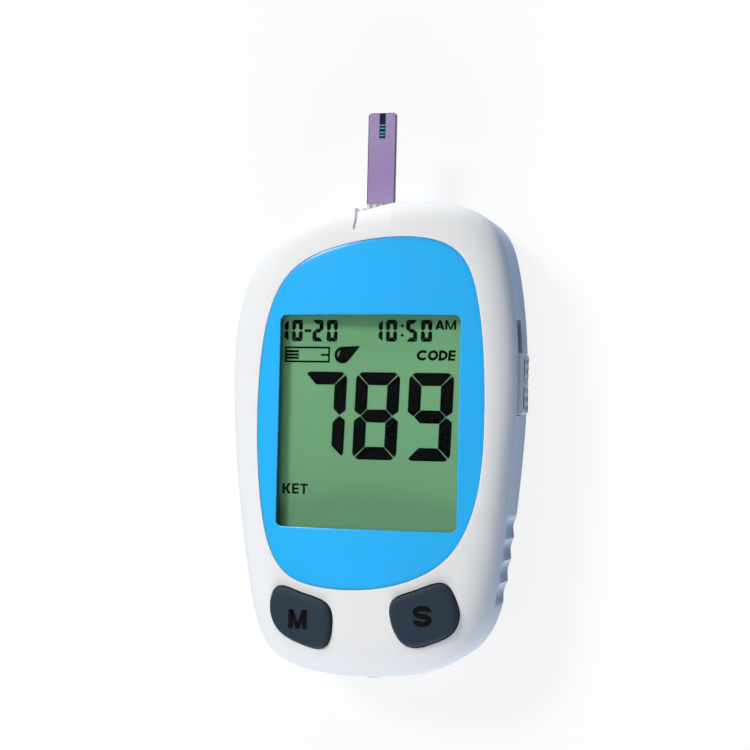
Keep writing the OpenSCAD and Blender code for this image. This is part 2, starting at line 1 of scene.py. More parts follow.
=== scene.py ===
"""Looks of a hand-held blood glucose meter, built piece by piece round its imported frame.

The meter lies on its back: +X right, +Y towards the strip port, +Z out of the display. Shapes
are worked out in millimetres, as the frame's source has them, and scaled once into metres.
"""

import json

import bpy
import numpy as np
from mathutils import Matrix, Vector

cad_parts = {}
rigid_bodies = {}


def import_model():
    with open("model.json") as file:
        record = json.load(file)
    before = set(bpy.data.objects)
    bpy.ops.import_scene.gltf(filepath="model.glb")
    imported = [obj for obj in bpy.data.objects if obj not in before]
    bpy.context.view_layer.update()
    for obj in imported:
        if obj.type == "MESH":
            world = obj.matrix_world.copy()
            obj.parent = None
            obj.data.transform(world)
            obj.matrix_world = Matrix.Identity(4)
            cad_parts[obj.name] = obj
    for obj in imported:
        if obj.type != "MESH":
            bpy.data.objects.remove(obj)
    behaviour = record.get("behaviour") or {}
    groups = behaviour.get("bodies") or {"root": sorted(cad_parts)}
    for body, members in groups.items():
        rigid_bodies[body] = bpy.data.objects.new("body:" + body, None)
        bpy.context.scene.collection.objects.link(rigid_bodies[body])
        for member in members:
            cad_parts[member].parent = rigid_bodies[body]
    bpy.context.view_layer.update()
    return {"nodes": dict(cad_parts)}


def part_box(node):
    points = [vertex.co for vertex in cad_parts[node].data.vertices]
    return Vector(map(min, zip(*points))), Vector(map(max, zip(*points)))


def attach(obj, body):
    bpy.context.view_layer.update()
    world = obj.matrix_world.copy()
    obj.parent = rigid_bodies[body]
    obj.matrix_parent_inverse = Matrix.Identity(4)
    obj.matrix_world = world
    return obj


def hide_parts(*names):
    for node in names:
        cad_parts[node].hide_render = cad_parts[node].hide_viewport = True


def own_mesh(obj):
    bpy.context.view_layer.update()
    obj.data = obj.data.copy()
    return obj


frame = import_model()

# -------- rear shell
# The tub that holds everything: white ABS, injection moulded, with drafted sides, a rounded edge
# round its flat back and thumb grips low on both sides. Four screws from the back draw it
# against the front shell, and its battery bay opens through the back.

MM = 0.001
BODY_WIDTH, BODY_LENGTH = 60, 96.5
BODY_POINTS = [(30.2, 11), (27.6, 37), (22.4, 50.4), (-28.5, 46), (-31.9, 10.3), (-25.7, -33.2),
               (-21.5, -46.2), (-4.7, -49), (23.8, -46.6), (26.7, -23)]
COLUMNS = 720
SEAM_HEIGHT, SEAM_GROOVE = 15.9, 0.33
SEAM_LIP = [(0, 15.56), (0.03, 15.62), (SEAM_GROOVE, SEAM_HEIGHT)]
WALL, BACK_RADIUS, INNER_RADIUS, DRAFT = 1.6, 4.5, 3.5, 0.1
BAY_X, BAY_Y, BAY_CEILING, BAY_TOP, BAY_WALL = 11.35, (-41.2, 9.2), 12.35, 13.3, 1.2
DOOR_Y, DOOR_HALF_WIDTH, DOOR_GAP = (-40.7, 9.5), 12.1, 0.2
HOOK_X, HOOK_SLOT, HOOK_SLOT_REACH, HOOK_SLOT_TOP = (8.9, 11.2), 3, 1.8, 3.8
SCREWS = [(17.8, 42), (-17, 37.5), (-20.4, -25.6), (20.2, -25)]
SCREW_SEAT, BOSS_TOP, POST_SIDES = 8, 13.8, 48
WELL_RADIUS, HOLE_RADIUS, BOSS_RADIUS = 2.0, 1.1, 2.9
TAB_CENTRE, TAB_RADIUS, TAB_START, TAB_Z = (0.4, -44.4), 4.2, -44, (9, 15)
GRIP_Y, GRIP_START_X = [-17.4 - 4.46 * k for k in range(4)], 15
GRIP_RADIUS, GRIP_DEPTH, GRIP_TOP, GRIP_FADE = 3.3, 0.87, 14.7, 5.6
RIDGE_SOFTNESS, RIDGE_BASE = 0.05, 0.035
SLIDER_Y, SLIDER_LENGTH, SLIDER_Z, SLIDER_TRAVEL = 5.3, 12.4, (10.3, 14.3), 6.5
SLOT_X, SLIDER_GAP = (24, 34), 0.25
STRIP_HALF_WIDTH, PORT_GAP, PORT_Y, PORT_Z = 3, 0.4, (40, 52), (14.375, 20)


def spline(points, steps=60):
    """Closed cubic B-spline. At a share t of a span it is the mean of four neighbouring points,
    weighted (1-t)^3, 3t^3-6t^2+4, -3t^3+3t^2+3t+1 and t^3, over 6."""
    p = np.array(points, float)
    t = np.arange(steps)[None, :, None] / steps
    weights = (1 - t) ** 3, 3 * t**3 - 6 * t**2 + 4, -3 * t**3 + 3 * t**2 + 3 * t + 1, t**3
    return sum(w * np.roll(p, 1 - k, 0)[:, None] for k, w in enumerate(weights)).reshape(-1, 2) / 6


def full_turn(count):
    return 2 * np.pi * np.arange(count) / count


def around(a):
    """Points of the unit circle at the angles a."""
    return np.stack([np.cos(a), np.sin(a)], -1)


def ring(curve, steps=24):
    """The points where rays from the body's centre cross a curve, at the same angles for every
    ring, so that rings join point to point. Each ray's length is read off the curve by its angle,
    and sides are first split into short steps, which keeps straight ones straight."""
    share = np.arange(steps)[None, :, None] / steps
    curve = (curve[:, None] * (1 - share) + np.roll(curve, -1, 0)[:, None] * share).reshape(-1, 2)
    way = around(full_turn(COLUMNS)) * (BODY_WIDTH, BODY_LENGTH)
    way /= np.linalg.norm(way, axis=1)[:, None]
    angle = np.arctan2(curve[:, 1], curve[:, 0]) % (2 * np.pi)
    return way * np.interp(np.arctan2(way[:, 1], way[:, 0]), angle, np.hypot(*curve.T),
                           period=2 * np.pi)[:, None]


def inset(outline, depth):
    """An outline moved in along its normals, each square to the line between its neighbours."""
    along = np.roll(outline, -1, 0) - np.roll(outline, 1, 0)
    normal = np.stack([along[:, 1], -along[:, 0]], 1) / np.linalg.norm(along, axis=1)[:, None]
    return outline - normal * np.reshape(depth, (-1, 1))


def at_height(outline, z):
    return np.column_stack([outline, np.broadcast_to(z, len(outline))])


def solid(rings, looped=False):
    """Closed surface through rings that turn anticlockwise seen from +Z, each joined to the next.
    A looped one joins its last ring to its first, and any other is closed by a fan of triangles
    at each end, round the middle of its end ring."""
    grid = np.array(rings, float)
    rows, columns = grid.shape[:2]
    i, j = np.meshgrid(np.arange(rows if looped else rows - 1), np.arange(columns), indexing="ij")
    k, n = (i + 1) % rows, (j + 1) % columns
    faces = np.stack([i * columns + j, i * columns + n, k * columns + n, k * columns + j], -1)
    points, faces = grid.reshape(-1, 3), faces.reshape(-1, 4).tolist()
    if not looped:
        points = np.vstack([points, grid[0].mean(0), grid[-1].mean(0)])
        j, n, middle, last_ring = j[0], n[0], rows * columns, (rows - 1) * columns
        faces += np.stack([n, j, 0 * j + middle], 1).tolist()
        faces += np.stack([last_ring + j, last_ring + n, 0 * j + middle + 1], 1).tolist()
    return points, faces


def prism(outline, z0, z1):
    return solid([at_height(np.array(outline, float), z) for z in (z0, z1)])


def block(low, high):
    (x0, y0, z0), (x1, y1, z1) = low, high
    return prism([(x0, y0), (x1, y0), (x1, y1), (x0, y1)], z0, z1)


def circle(centre, radius, count=64):
    return np.array(centre, float) + radius * around(full_turn(count))


def rounded_rectangle(width, height, radius, middle=(0, 0), count=16):
    """A quarter circle of count steps round each corner's centre, anticlockwise."""
    a = np.radians(90 * np.arange(4)[:, None] + np.linspace(0, 90, count + 1))
    corner = np.array([(1, 1), (-1, 1), (-1, -1), (1, -1)]) * (width / 2 - radius,
                                                              height / 2 - radius)
    return (corner[:, None] + radius * around(a) + np.array(middle, float)).reshape(-1, 2)


def sharpen(target, sharp=35):
    """Shades a piece smooth, but for its edges over the sharp angle."""
    target.data.shade_smooth()
    target.data.set_sharp_from_angle(angle=np.radians(sharp))


def piece(name, part, body=None, material=None, sharp=35):
    """A mesh object from points in millimetres and faces. A piece with a body rides on it."""
    points, faces = part
    mesh = bpy.data.meshes.new(name)
    mesh.from_pydata((np.asarray(points) * MM).tolist(), [], faces)
    made = bpy.data.objects.new(name, mesh)
    sharpen(made, sharp)
    bpy.context.scene.collection.objects.link(made)
    if material:
        mesh.materials.append(material)
    if body:
        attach(made, body)
    return made


def carve(target, operation, *parts):
    """Cuts closed surfaces out of a piece, or adds them to it, with one exact Boolean."""
    tools = bpy.data.collections.new("tools")
    for part in parts:
        tool = piece("tool", part)
        bpy.context.scene.collection.objects.unlink(tool)
        tools.objects.link(tool)
    cut = target.modifiers.new("cut", "BOOLEAN")
    cut.operation, cut.solver = operation, "EXACT"
    cut.operand_type, cut.collection = "COLLECTION", tools
    found = bpy.data.meshes.new_from_object(
        target.evaluated_get(bpy.context.evaluated_depsgraph_get()))
    target.modifiers.clear()
    target.data = found
    for tool in list(tools.objects):
        bpy.data.objects.remove(tool)
    bpy.data.collections.remove(tools)


class Shade:
    """One output of a shader node. Plus, minus and times on it add Math nodes, and node() adds
    any other node beside it."""

    def __init__(self, tree, socket):
        self.tree, self.socket = tree, socket

    def node(self, kind, sockets, out=0, **settings):
        """Adds a node: its settings first, then the value or the link of each socket."""
        made = self.tree.nodes.new("ShaderNode" + kind)
        for key, value in settings.items():
            setattr(made, key, value)
        for key, value in sockets.items():
            if isinstance(value, Shade):
                self.tree.links.new(value.socket, made.inputs[key])
            else:
                made.inputs[key].default_value = value
        return Shade(self.tree, made.outputs[out]) if made.outputs else None

    def maths(self, operation, *values):
        return self.node("Math", dict(enumerate(values)), operation=operation)

    def __add__(self, other):
        return self.maths("ADD", self, other)

    def __sub__(self, other):
        return self.maths("SUBTRACT", self, other)

    def __rsub__(self, other):
        return self.maths("SUBTRACT", other, self)

    def __mul__(self, other):
        return self.maths("MULTIPLY", self, other)

    __radd__, __rmul__ = __add__, __mul__

    def part(self, way):
        """This place's X, Y or Z."""
        return self.node("SeparateXYZ", {0: self}, out=way)

    def band(self, low, high, soft):
        """1 where a length lies between low and high, with edges soft wide, all in millimetres."""
        rise, fall = (self.node("MapRange", {0: self, 1: a * MM, 2: b * MM},
                                interpolation_type="SMOOTHSTEP")
                      for a, b in ((low - soft, low + soft), (high + soft, high - soft)))
        return rise * fall

    def mixed(self, a, b):
        """Colour a where this value is 0 and colour b where it is 1."""
        a, b = ((*c, 1) if isinstance(c, tuple) else c for c in (a, b))
        return self.node("Mix", {0: self, 6: a, 7: b}, out=2, data_type="RGBA")

    def bump(self, strength, depth):
        """Relief that follows this value, as deep as depth millimetres."""
        return self.node("Bump", {"Height": self, "Strength": strength, "Distance": depth * MM})


def paint(red, green, blue):
    """Linear colour of a paint given as 8-bit sRGB."""
    c = np.array([red, green, blue]) / 255
    return tuple(np.where(c <= 0.04045, c / 12.92, ((c + 0.055) / 1.055) ** 2.4).tolist())


def new_material(name):
    """An empty material, with the object's own place as its first Shade."""
    made = bpy.data.materials.new(name)
    made.use_nodes = True
    made.node_tree.nodes.clear()
    return made, Shade(made.node_tree, None).node("TexCoord", {}, out="Object")


def noise(place, size, detail=2.0):
    """Noise with features of a size in millimetres, about 0.5 on average."""
    return place.node("TexNoise", {"Vector": place, "Scale": 1 / (size * MM), "Detail": detail})


def finish(place, sockets):
    place.node("OutputMaterial", {"Surface": place.node("BsdfPrincipled", sockets)})


def moulded(name, colour, roughness, grain=0.35, relief=0.006, tint=0.03, specular=0.5):
    """Moulded plastic or rubber: fine grain in its relief and gloss, and slow drifts of tone, as
    a tool leaves them. The grain's size and relief are in millimetres."""
    made, place = new_material(name)
    slow, fine = noise(place, 14), noise(place, grain, 3)
    dark, light = (tuple(min(1, c * share) for c in colour) for share in (1 - tint, 1 + tint))
    finish(place, {"Base Color": slow.mixed(dark, light),
                   "Roughness": fine * 0.08 + slow * 0.08 + (roughness - 0.08),
                   "Specular IOR Level": specular, "Normal": fine.bump(0.5, relief)})
    return made


def eased(x):
    """0 to 1 with level ends: x*x*(3-2x)."""
    x = np.clip(x, 0, 1)
    return x * x * (3 - 2 * x)


def body_at(depth, z):
    return at_height(inset(body_ring, depth), z)


def side_ring(inward, z):
    """A ring of the side with its thumb grips pressed in: a point inside a grip's circle, whose
    centre stands outside the wall, is moved in to it. Depths a and b blend as
    s log(e^(a/s) + e^(b/s)), less a base, which rounds the ridges, and run out to the top."""
    outline = inset(body_ring, inward)
    x, y = outline.T
    press = np.zeros(len(x))
    for valley in GRIP_Y:
        across = np.sqrt(np.clip(GRIP_RADIUS**2 - (y - valley) ** 2, 0, None))
        lift = across - (GRIP_RADIUS - GRIP_DEPTH) - inward
        blend = np.logaddexp(press / RIDGE_SOFTNESS, lift / RIDGE_SOFTNESS) * RIDGE_SOFTNESS
        press = np.where(lift > -1, blend, press)
    press = np.clip(press - RIDGE_BASE, 0, None) * eased((GRIP_TOP - z) / GRIP_FADE)
    return at_height(np.column_stack([x - np.sign(x) * press * (np.abs(x) > GRIP_START_X), y]), z)


body_ring = ring(spline(BODY_POINTS))
white_abs = moulded("white_abs", paint(240, 241, 242), 0.5, tint=0.012, specular=0.03)

outside = [side_ring(DRAFT + BACK_RADIUS * (1 - np.cos(a)), BACK_RADIUS * (1 - np.sin(a)))
           for a in np.radians(np.linspace(90, 0, 14))]
outside += [side_ring(np.interp(z, [BACK_RADIUS, 10, 15.5], [DRAFT, DRAFT / 2, 0]), z)
            for z in (*np.linspace(5, 13.8, 12), *np.linspace(14, 15.4, 8))]
outside += [body_at(*lip) for lip in (*SEAM_LIP, (WALL, SEAM_HEIGHT))]
inside = [body_at(WALL + DRAFT + INNER_RADIUS * (1 - np.cos(a)),
                  WALL + INNER_RADIUS * (1 - np.sin(a))) for a in np.radians(np.linspace(0, 90, 7))]
rear_shell = piece("rear_housing", solid(outside + inside), material=white_abs)

carve(rear_shell, "UNION",
      block((-BAY_X - BAY_WALL, BAY_Y[0] - BAY_WALL, 1),
            (BAY_X + BAY_WALL, BAY_Y[1] + BAY_WALL, BAY_TOP)),
      prism(np.minimum(circle(TAB_CENTRE, TAB_RADIUS), (np.inf, TAB_START)), *TAB_Z),
      *[prism(circle(p, BOSS_RADIUS, POST_SIDES), 1.2, BOSS_TOP) for p in SCREWS])
door_opening = rounded_rectangle(2 * (DOOR_HALF_WIDTH + DOOR_GAP),
                                 DOOR_Y[1] - DOOR_Y[0] + 2 * DOOR_GAP, 2, (0, sum(DOOR_Y) / 2))
hooks = [s * sum(HOOK_X) / 2 for s in (-1, 1)]
carve(rear_shell, "DIFFERENCE",
      prism(door_opening, -1, WALL),
      block((-BAY_X, BAY_Y[0], 0.5), (BAY_X, BAY_Y[1], BAY_CEILING)),
      *[block((x - HOOK_SLOT / 2, BAY_Y[0] - HOOK_SLOT_REACH, WALL - 0.3),
              (x + HOOK_SLOT / 2, BAY_Y[0] + 1, HOOK_SLOT_TOP)) for x in hooks],
      *[prism(circle(p, WELL_RADIUS, POST_SIDES), -1, SCREW_SEAT) for p in SCREWS],
      *[prism(circle(p, HOLE_RADIUS, POST_SIDES), SCREW_SEAT - 1, BOSS_TOP + 1) for p in SCREWS],
      block((SLOT_X[0], SLIDER_Y - SLIDER_GAP, SLIDER_Z[0] - SLIDER_GAP),
            (SLOT_X[1], SLIDER_Y + SLIDER_LENGTH + SLIDER_TRAVEL + SLIDER_GAP,
             SLIDER_Z[1] + SLIDER_GAP)),
      block((-STRIP_HALF_WIDTH - PORT_GAP, PORT_Y[0], PORT_Z[0]),
            (STRIP_HALF_WIDTH + PORT_GAP, PORT_Y[1], PORT_Z[1])))
sharpen(rear_shell)
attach(rear_shell, "housing")
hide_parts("rear_shell")

# -------- battery bay and contacts
# Two AAA cells lie side by side, head to tail, in plain printed jackets shrunk over steel cans.
# The contacts are nickel-plated spring steel, pressed into the ends of the bay.

CELL_RADIUS, CELL_LENGTH, CELL_NUB = 5.25, 44.5, 0.8
CELL_X, CELL_Z = 5.55, 6.9
COIL_LENGTH, PLATE = 4.6, 0.4
JACKET_Y = (-35.5, 3.5)


def turned(profile, start, way):
    """A profile of (radius, distance) points turned round an axis along Y, way +1 or -1."""
    a = full_turn(96)
    return solid([np.stack([start[0] + r * np.cos(a), np.full(len(a), start[1] + way * d),
                            start[2] - way * r * np.sin(a)], 1) for r, d in profile])


def cell_profile():
    """Rounded can with its crimp groove near the head, then the nub."""
    can, r, edge = CELL_LENGTH - CELL_NUB, CELL_RADIUS, 0.4
    bend = np.linspace(0, np.pi / 2, 6)
    foot = [(r - edge + edge * np.sin(a), edge - edge * np.cos(a)) for a in bend]
    head = [(r - edge + edge * np.cos(a), can - edge + edge * np.sin(a)) for a in bend]
    nub = [(1.9, can), (1.9, CELL_LENGTH - 0.2), (1.75, CELL_LENGTH - 0.05), (1.6, CELL_LENGTH)]
    return [(3.0, 0.0), *foot, (r, can / 2), *head, (r - 1.0, can), (2.4, can - 0.25), *nub]


cell_jacket, place = new_material("cell_jacket")
scuffs, jacket = noise(place, 1.6, 4), place.part("Y").band(*JACKET_Y, 0.08)
finish(place, {"Base Color": jacket.mixed(paint(190, 192, 196), paint(58, 70, 88)),
               "Metallic": 1 - jacket * 0.85, "Roughness": scuffs * 0.15 + 0.28,
               "Normal": jacket.bump(0.6, 0.05)})
for side, end, way in ("left", BAY_Y[1], -1), ("right", BAY_Y[0], 1):
    start = (way * CELL_X, end + way * (PLATE + COIL_LENGTH), CELL_Z)
    cell = piece(f"cell_{side}", turned(cell_profile(), start, way), "housing", cell_jacket, 50)
    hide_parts(f"battery_{side}")


def dress(material, *names):
    """Gives CAD pieces a finish in place of the plain one that they are packed with."""
    for name in names:
        node = frame["nodes"][name]
        node.data.materials.clear()
        node.data.materials.append(material)


def metal(name, colour, roughness):
    """Drawn or rolled metal: its gloss varies in fine grain, with small dull spots."""
    made, place = new_material(name)
    spots, fine = noise(place, 2.5, 4), noise(place, 0.4, 2)
    finish(place, {"Base Color": spots.mixed(tuple(c * 0.86 for c in colour), colour),
                   "Metallic": 1.0, "Roughness": fine * 0.14 + spots * 0.1 + (roughness - 0.12),
                   "Normal": fine.bump(0.3, 0.004)})
    return made


dress(metal("plated_steel", paint(205, 206, 210), 0.3), "bridge_contact", "positive_terminal",
      "negative_terminal", "housing_screws")

# -------- circuit board
# Green glass-fibre board under the display, with a processor, a memory chip, a watch crystal,
# capacitors and a sounder soldered to it, and the strip connector at its top edge.

board_laminate, place = new_material("board_laminate")
weave = place.node("TexWave", {"Vector": place, "Scale": 900.0, "Distortion": 1.5, "Detail": 2.0},
                   out="Fac")
tracks = place.node("TexVoronoi", {"Vector": place, "Scale": 260.0}, distance="MANHATTAN")
copper = tracks.node("MapRange", {0: tracks, 1: 0.42, 2: 0.5})
finish(place, {"Base Color": copper.mixed(paint(28, 98, 58), paint(52, 132, 76)),
               "Roughness": weave * 0.1 + 0.3, "Normal": weave.bump(0.3, 0.01)})
dress(board_laminate, "circuit_board")
dress(moulded("chip_resin", paint(30, 30, 33), 0.6, grain=0.12, tint=0.1), "microcontroller",
      "memory_chip")
dress(moulded("black_plastic", paint(32, 32, 35), 0.45, tint=0.06), "buzzer", "strip_connector")
dress(moulded("capacitor_ceramic", paint(178, 150, 112), 0.5, grain=0.1, tint=0.08),
      "chip_capacitors")
dress(metal("crystal_can", paint(198, 198, 200), 0.26), "crystal")
dress(metal("gold_contacts", paint(222, 186, 108), 0.25), "strip_contacts")

# -------- display
# A reflective liquid crystal display: two bonded glasses in a plastic frame, with a rubber
# connector to the board, a green reflector behind and a polarizing film on the front.

lcd_green, place = new_material("lcd_green")
# Painted light: the green is painted lighter towards the display's top end and darker towards its
# bottom, as the light falls on it.
painted_light_fade = place.node("MapRange", {0: place.part("Y"), 1: -19 * MM, 2: 25 * MM})
level = painted_light_fade.mixed(paint(116, 167, 125), paint(127, 188, 135))
grain = noise(place, 0.5, 3)
cloud = grain * 0.5 + noise(place, 9, 2) * 0.5
mottle = place.node("MapRange", {0: cloud, 1: 0.3, 2: 0.7, 3: 0.0, 4: 0.16})
finish(place, {"Base Color": mottle.mixed(level, paint(92, 150, 108)), "Roughness": 0.5,
               "Specular IOR Level": 0.25, "Normal": grain.bump(0.2, 0.001)})
dress(lcd_green, "lcd_polarizer")
dress(moulded("display_glass", paint(112, 160, 120), 0.15, grain=2, relief=0.001, tint=0.02),
      "lcd_glass")
dress(moulded("holder_plastic", paint(214, 216, 216), 0.5, tint=0.02), "lcd_holder")
dress(moulded("connector_rubber", paint(196, 132, 140), 0.7, grain=0.25, tint=0.05),
      "zebra_connector")

# -------- display figures
# The figures are the dark segments of the liquid crystal itself, so they lie flat in the
# display. Each figure is made of seven mitred bars with hairline gaps.

LCD_TOP, INK_RISE = 19.3, 0.012
BIG = dict(width=9.25, height=17.65, stroke=2.62, gap=0.2, corner=1.15, lean=0.032)
SMALL = dict(width=2.3, height=4.4, stroke=0.84, gap=0.05, corner=0.3, lean=0.0)
LIT = {"0": "abcdef", "1": "bc", "2": "abged", "5": "afgcd", "7": "abc", "8": "abcdefg",
       "9": "abcdfg"}


def bars(width, height, stroke, gap, corner, lean):
    """The seven bars of a figure: a across the top, then clockwise b to f, and g in the
    middle. Bars meet on 45-degree mitres, and outer corners are cut off by the corner size."""
    w, h, t, g, c = width, height, stroke, gap / 2, corner
    m, s = h / 2, stroke / 2
    k = g * 0.7
    across = [(c + k, h), (w - c - k, h), (w - c * 0.45 - k, h - c * 0.35), (w - t - k, h - t),
              (t + k, h - t), (c * 0.45 + k, h - c * 0.35)]
    tall = [(w, h - c - k), (w - c * 0.35, h - c * 0.45 - k), (w - t, h - t - k),
            (w - t, m + s + k), (w - s * 0.95, m + k), (w, m + s * 0.7 + k)]
    middle = [(s + k, m), (t + k, m + s), (w - t - k, m + s), (w - s - k, m), (w - t - k, m - s),
              (t + k, m - s)]
    made = {"a": across, "b": tall, "g": middle}
    made["c"] = [(x, h - y) for x, y in tall]
    made["d"] = [(x, h - y) for x, y in across]
    made["f"] = [(w - x, y) for x, y in tall]
    made["e"] = [(w - x, h - y) for x, y in tall]
    return {name: [(x + lean * (y - h), y) for x, y in bar] for name, bar in made.items()}


def anticlockwise(outline):
    p = np.array(outline, float)
    area = np.sum(p[:, 0] * np.roll(p[:, 1], -1) - p[:, 1] * np.roll(p[:, 0], -1))
    return p if area > 0 else p[::-1]


def flat_ended(first, last):
    """A solid between two rings of any shape. Its ends have many corners, instead of fans."""
    n = len(first)
    points, faces = solid([first, last])
    return points[:2 * n], faces[:n] + [list(range(n))[::-1], list(range(n, 2 * n))]


def joined(*parts):
    """Several closed surfaces as the points and faces of one mesh."""
    points, faces = [], []
    for p, f in parts:
        start = sum(len(q) for q in points)
        points.append(p)
        faces += [[start + i for i in face] for face in f]
    return np.vstack(points), faces


def flat_plate(outline, thickness=INK_RISE, base=LCD_TOP):
    outline = anticlockwise(outline)
    return flat_ended(*[at_height(outline, z) for z in (base, base + thickness)])


def figures(text, left, bottom, style, pitch):
    """Plates of a row of figures, each from the bars that are lit in it."""
    shapes = bars(**style)
    return [flat_plate(np.array(shapes[bar]) + (left + pitch * k, bottom))
            for k, figure in enumerate(text) for bar in LIT[figure]]


def leg(x0, y0, x1, y1, wide):
    """A bar with level ends, from x0 at the height y0 to x1 at y1."""
    return [(x0, y0), (x0 + wide, y0), (x1 + wide, y1), (x1, y1)]


def frame_outline(x0, y0, x1, y1, line):
    """Four bars round a rectangle."""
    lying = [leg(x0, y, x0, y + line, x1 - x0) for y in (y0, y1 - line)]
    standing = [leg(x, y0 + line, x, y1 - line, line) for x in (x0, x1 - line)]
    return [flat_plate(bar) for bar in lying + standing]


def drop(centre, radius, tip):
    """A drop: an arc round its centre, closed by two tangents to its tip."""
    to = np.array(tip) - centre
    reach, aim = np.hypot(*to), np.arctan2(to[1], to[0])
    spread = np.arccos(radius / reach)
    a = np.linspace(aim + spread, aim + 2 * np.pi - spread, 40)
    return np.vstack([centre + radius * around(a), tip])


ink, place = new_material("display_ink")
speck = noise(place, 0.6, 2)
finish(place, {"Base Color": speck.mixed(paint(2, 3, 4), paint(8, 10, 12)),
               "Roughness": speck * 0.1 + 0.5, "Specular IOR Level": 0.0})

signs = figures("789", -14.25, -4.4, BIG, 11.13)
signs += figures("10", -20.15, 19.4, SMALL, 3.06) + figures("20", -12.66, 19.4, SMALL, 3.04)
signs += [flat_plate(leg(-14.36, 21.31, -14.36, 21.89, 1.4))]
signs += figures("10", -0.1, 19.45, SMALL, 3.0) + figures("50", 7.1, 19.45, SMALL, 3.08)
signs += [flat_plate(circle((6.27, y), 0.3, 24)) for y in (20.75, 22.65)]
signs += frame_outline(-18.5, 15.1, -8.86, 18.35, 0.38)
signs += [flat_plate(leg(-18.2, y, -18.2, y + 0.48, 2.7)) for y in (15.79, 16.45, 17.13)]
signs += [flat_plate(leg(-10.75, 16.46, -10.75, 16.88, 1.6))]
DROP = np.array([-6.15, 16.68])
signs += [flat_plate(drop(DROP, 1.72, (-2.4, 18.55)))]
display_signs = piece("display_signs", joined(*signs), "housing", ink)
glint = drop(DROP, 1.05, (-4.0, 17.8))[6:19]
gleam = np.vstack([glint, ((glint - DROP) * 0.78 + DROP)[::-1]])
piece("drop_gleam", flat_plate(gleam, 0.01, LCD_TOP + INK_RISE), "housing", lcd_green)


def bow(middle, reach, start, end, stroke):
    """A stroke along an ellipse's arc from one angle to another."""
    arc = around(np.radians(np.linspace(start, end, 40)))
    outer, inner = (arc * np.add(reach, d) + middle for d in (stroke / 2, -stroke / 2))
    return np.vstack([outer, inner[::-1]])


def letter(kind, w, h, t):
    """Shapes that make up a bold capital, w wide and h high, with strokes t wide."""
    m, rx, ry = w / 2, (w - t) / 2, (h - t) / 2
    stem = leg(0, 0, 0, h, t)
    return {"C": [bow((m + 0.05 * w, h / 2), (rx + 0.05 * w, ry), 42, 318, t)],
            "O": [bow((m, h / 2), (rx, ry), a, a + 181, t) for a in (0, 180)],
            "D": [stem, bow((t, h / 2), (w - 1.5 * t, ry), -90, 90, t)],
            "E": [stem] + [leg(t, y, t, y + 0.86 * t, w - t) for y in
                           (0, (h - 0.86 * t) / 2, h - 0.86 * t)],
            "K": [stem, leg(t * 0.7, h * 0.38, w - 1.25 * t, h, 1.2 * t),
                  leg(w - 1.25 * t, 0, t * 0.9, h * 0.62, 1.25 * t)],
            "T": [leg(m - t / 2, 0, m - t / 2, h, t), leg(0, h - 0.9 * t, 0, h, w)],
            "A": [leg(0, 0, m - 0.6 * t, h, 1.2 * t), leg(w - 1.2 * t, 0, m - 0.6 * t, h, 1.2 * t),
                  leg(w * 0.22, h * 0.18, w * 0.22, h * 0.18 + 0.75 * t, w * 0.56)],
            "M": [stem, leg(w - t, 0, w - t, h, t), leg(m - 0.4 * t, 0, 0.25 * t, h, 0.8 * t),
                  leg(m - 0.4 * t, 0, w - 1.05 * t, h, 0.8 * t)],
            "S": [bow((m, h / 2 + ry / 2), (rx, ry / 2), 8, 271, t),
                  bow((m, h / 2 - ry / 2), (rx, ry / 2), 91, -172, t)]}[kind]


def word(text, box, stroke, gap, slant=0.0):
    """Shapes of a word in bold capitals that fills a box (left, bottom, right, top). Round letters
    and the M are wider than the E and the T."""
    left, bottom, right, top = box
    share = np.array([{"C": 1.2, "E": 0.8, "T": 0.95, "O": 1.15, "M": 1.15}.get(kind, 1.0)
                      for kind in text])
    wide = (right - left - gap * (len(text) - 1)) / share.sum() * share
    start = left + np.cumsum(wide + gap) - wide - gap
    return [np.array([(x + slant * y, y) for x, y in shape]) + (start[k], bottom)
            for k, kind in enumerate(text) for shape in letter(kind, wide[k], top - bottom, stroke)]


sign_words = (word("CODE", (9.3, 15.7, 17.25, 17.8), 0.54, 0.13, 0.1)
              + word("KET", (-18.3, -11.7, -12.87, -9.6), 0.46, 0.28)
              + word("AM", (13.05, 21.9, 17.4, 23.8), 0.46, 0.1))
display_words = piece("display_words", joined(*[flat_plate(shape) for shape in sign_words]),
                      "housing", ink)

# -------- front shell
# White ABS again. The front is crowned from side to side and rolls over to the seam in one
# soft curve. It has a shallow pocket for the faceplate, two key holes and a recess in its upper
# end that guides the test strip into the port.

PANEL_POINTS = [(24.4, 7.8), (22.5, 30.4), (17.3, 42), (-10.9, 39.1), (-24.8, 28.9),
                (-23.4, -23.8), (-12.6, -32.1), (22.8, -28.8)]
FACE_HEIGHT, CROWN_RADIUS = 23.5, 110
ROLL_WIDTH, ROLL_POWER, ROLL_FOOT = 9, 2.4, SEAM_HEIGHT + SEAM_GROOVE
POCKET_DEPTH, POCKET_FLOOR, POCKET_WALL, POCKET_RIM = 1.45, 1.2, 1.2, 0.3
WINDOW, WINDOW_Y = (37.6, 42.9), 3.2
LENS, LENS_GAP = [side + 2.4 for side in WINDOW], 0.6
KEYS = {"set": ((12.9, -34.6), [(6, 3.5), (4, 7.5), (-2.3, 4.1), (-8.3, 3), (-4.4, -7.9),
                                (2.3, -5.1), (5.6, -3.8), (7.2, 0)]),
        "memory": ((-12.6, -36.3), [(-5, -3.2), (-1.1, -4.9), (6, -6.9), (6.9, -1), (6.5, 3.6),
                                    (-0.5, 4.7), (-6, 7.2), (-7.3, 0.8)])}
KEY_GAP = 0.25
PORT_CENTRE, PORT_LEAN, PORT_SIDES = (0, 47.6), 7, (-5, 4.8)
PORT_DEPTH, PORT_BACKING, BACKING_SIDES, BACKING_START = (0.15, 1.1), (0.3, 1.4), (-5.5, 3.6), 18
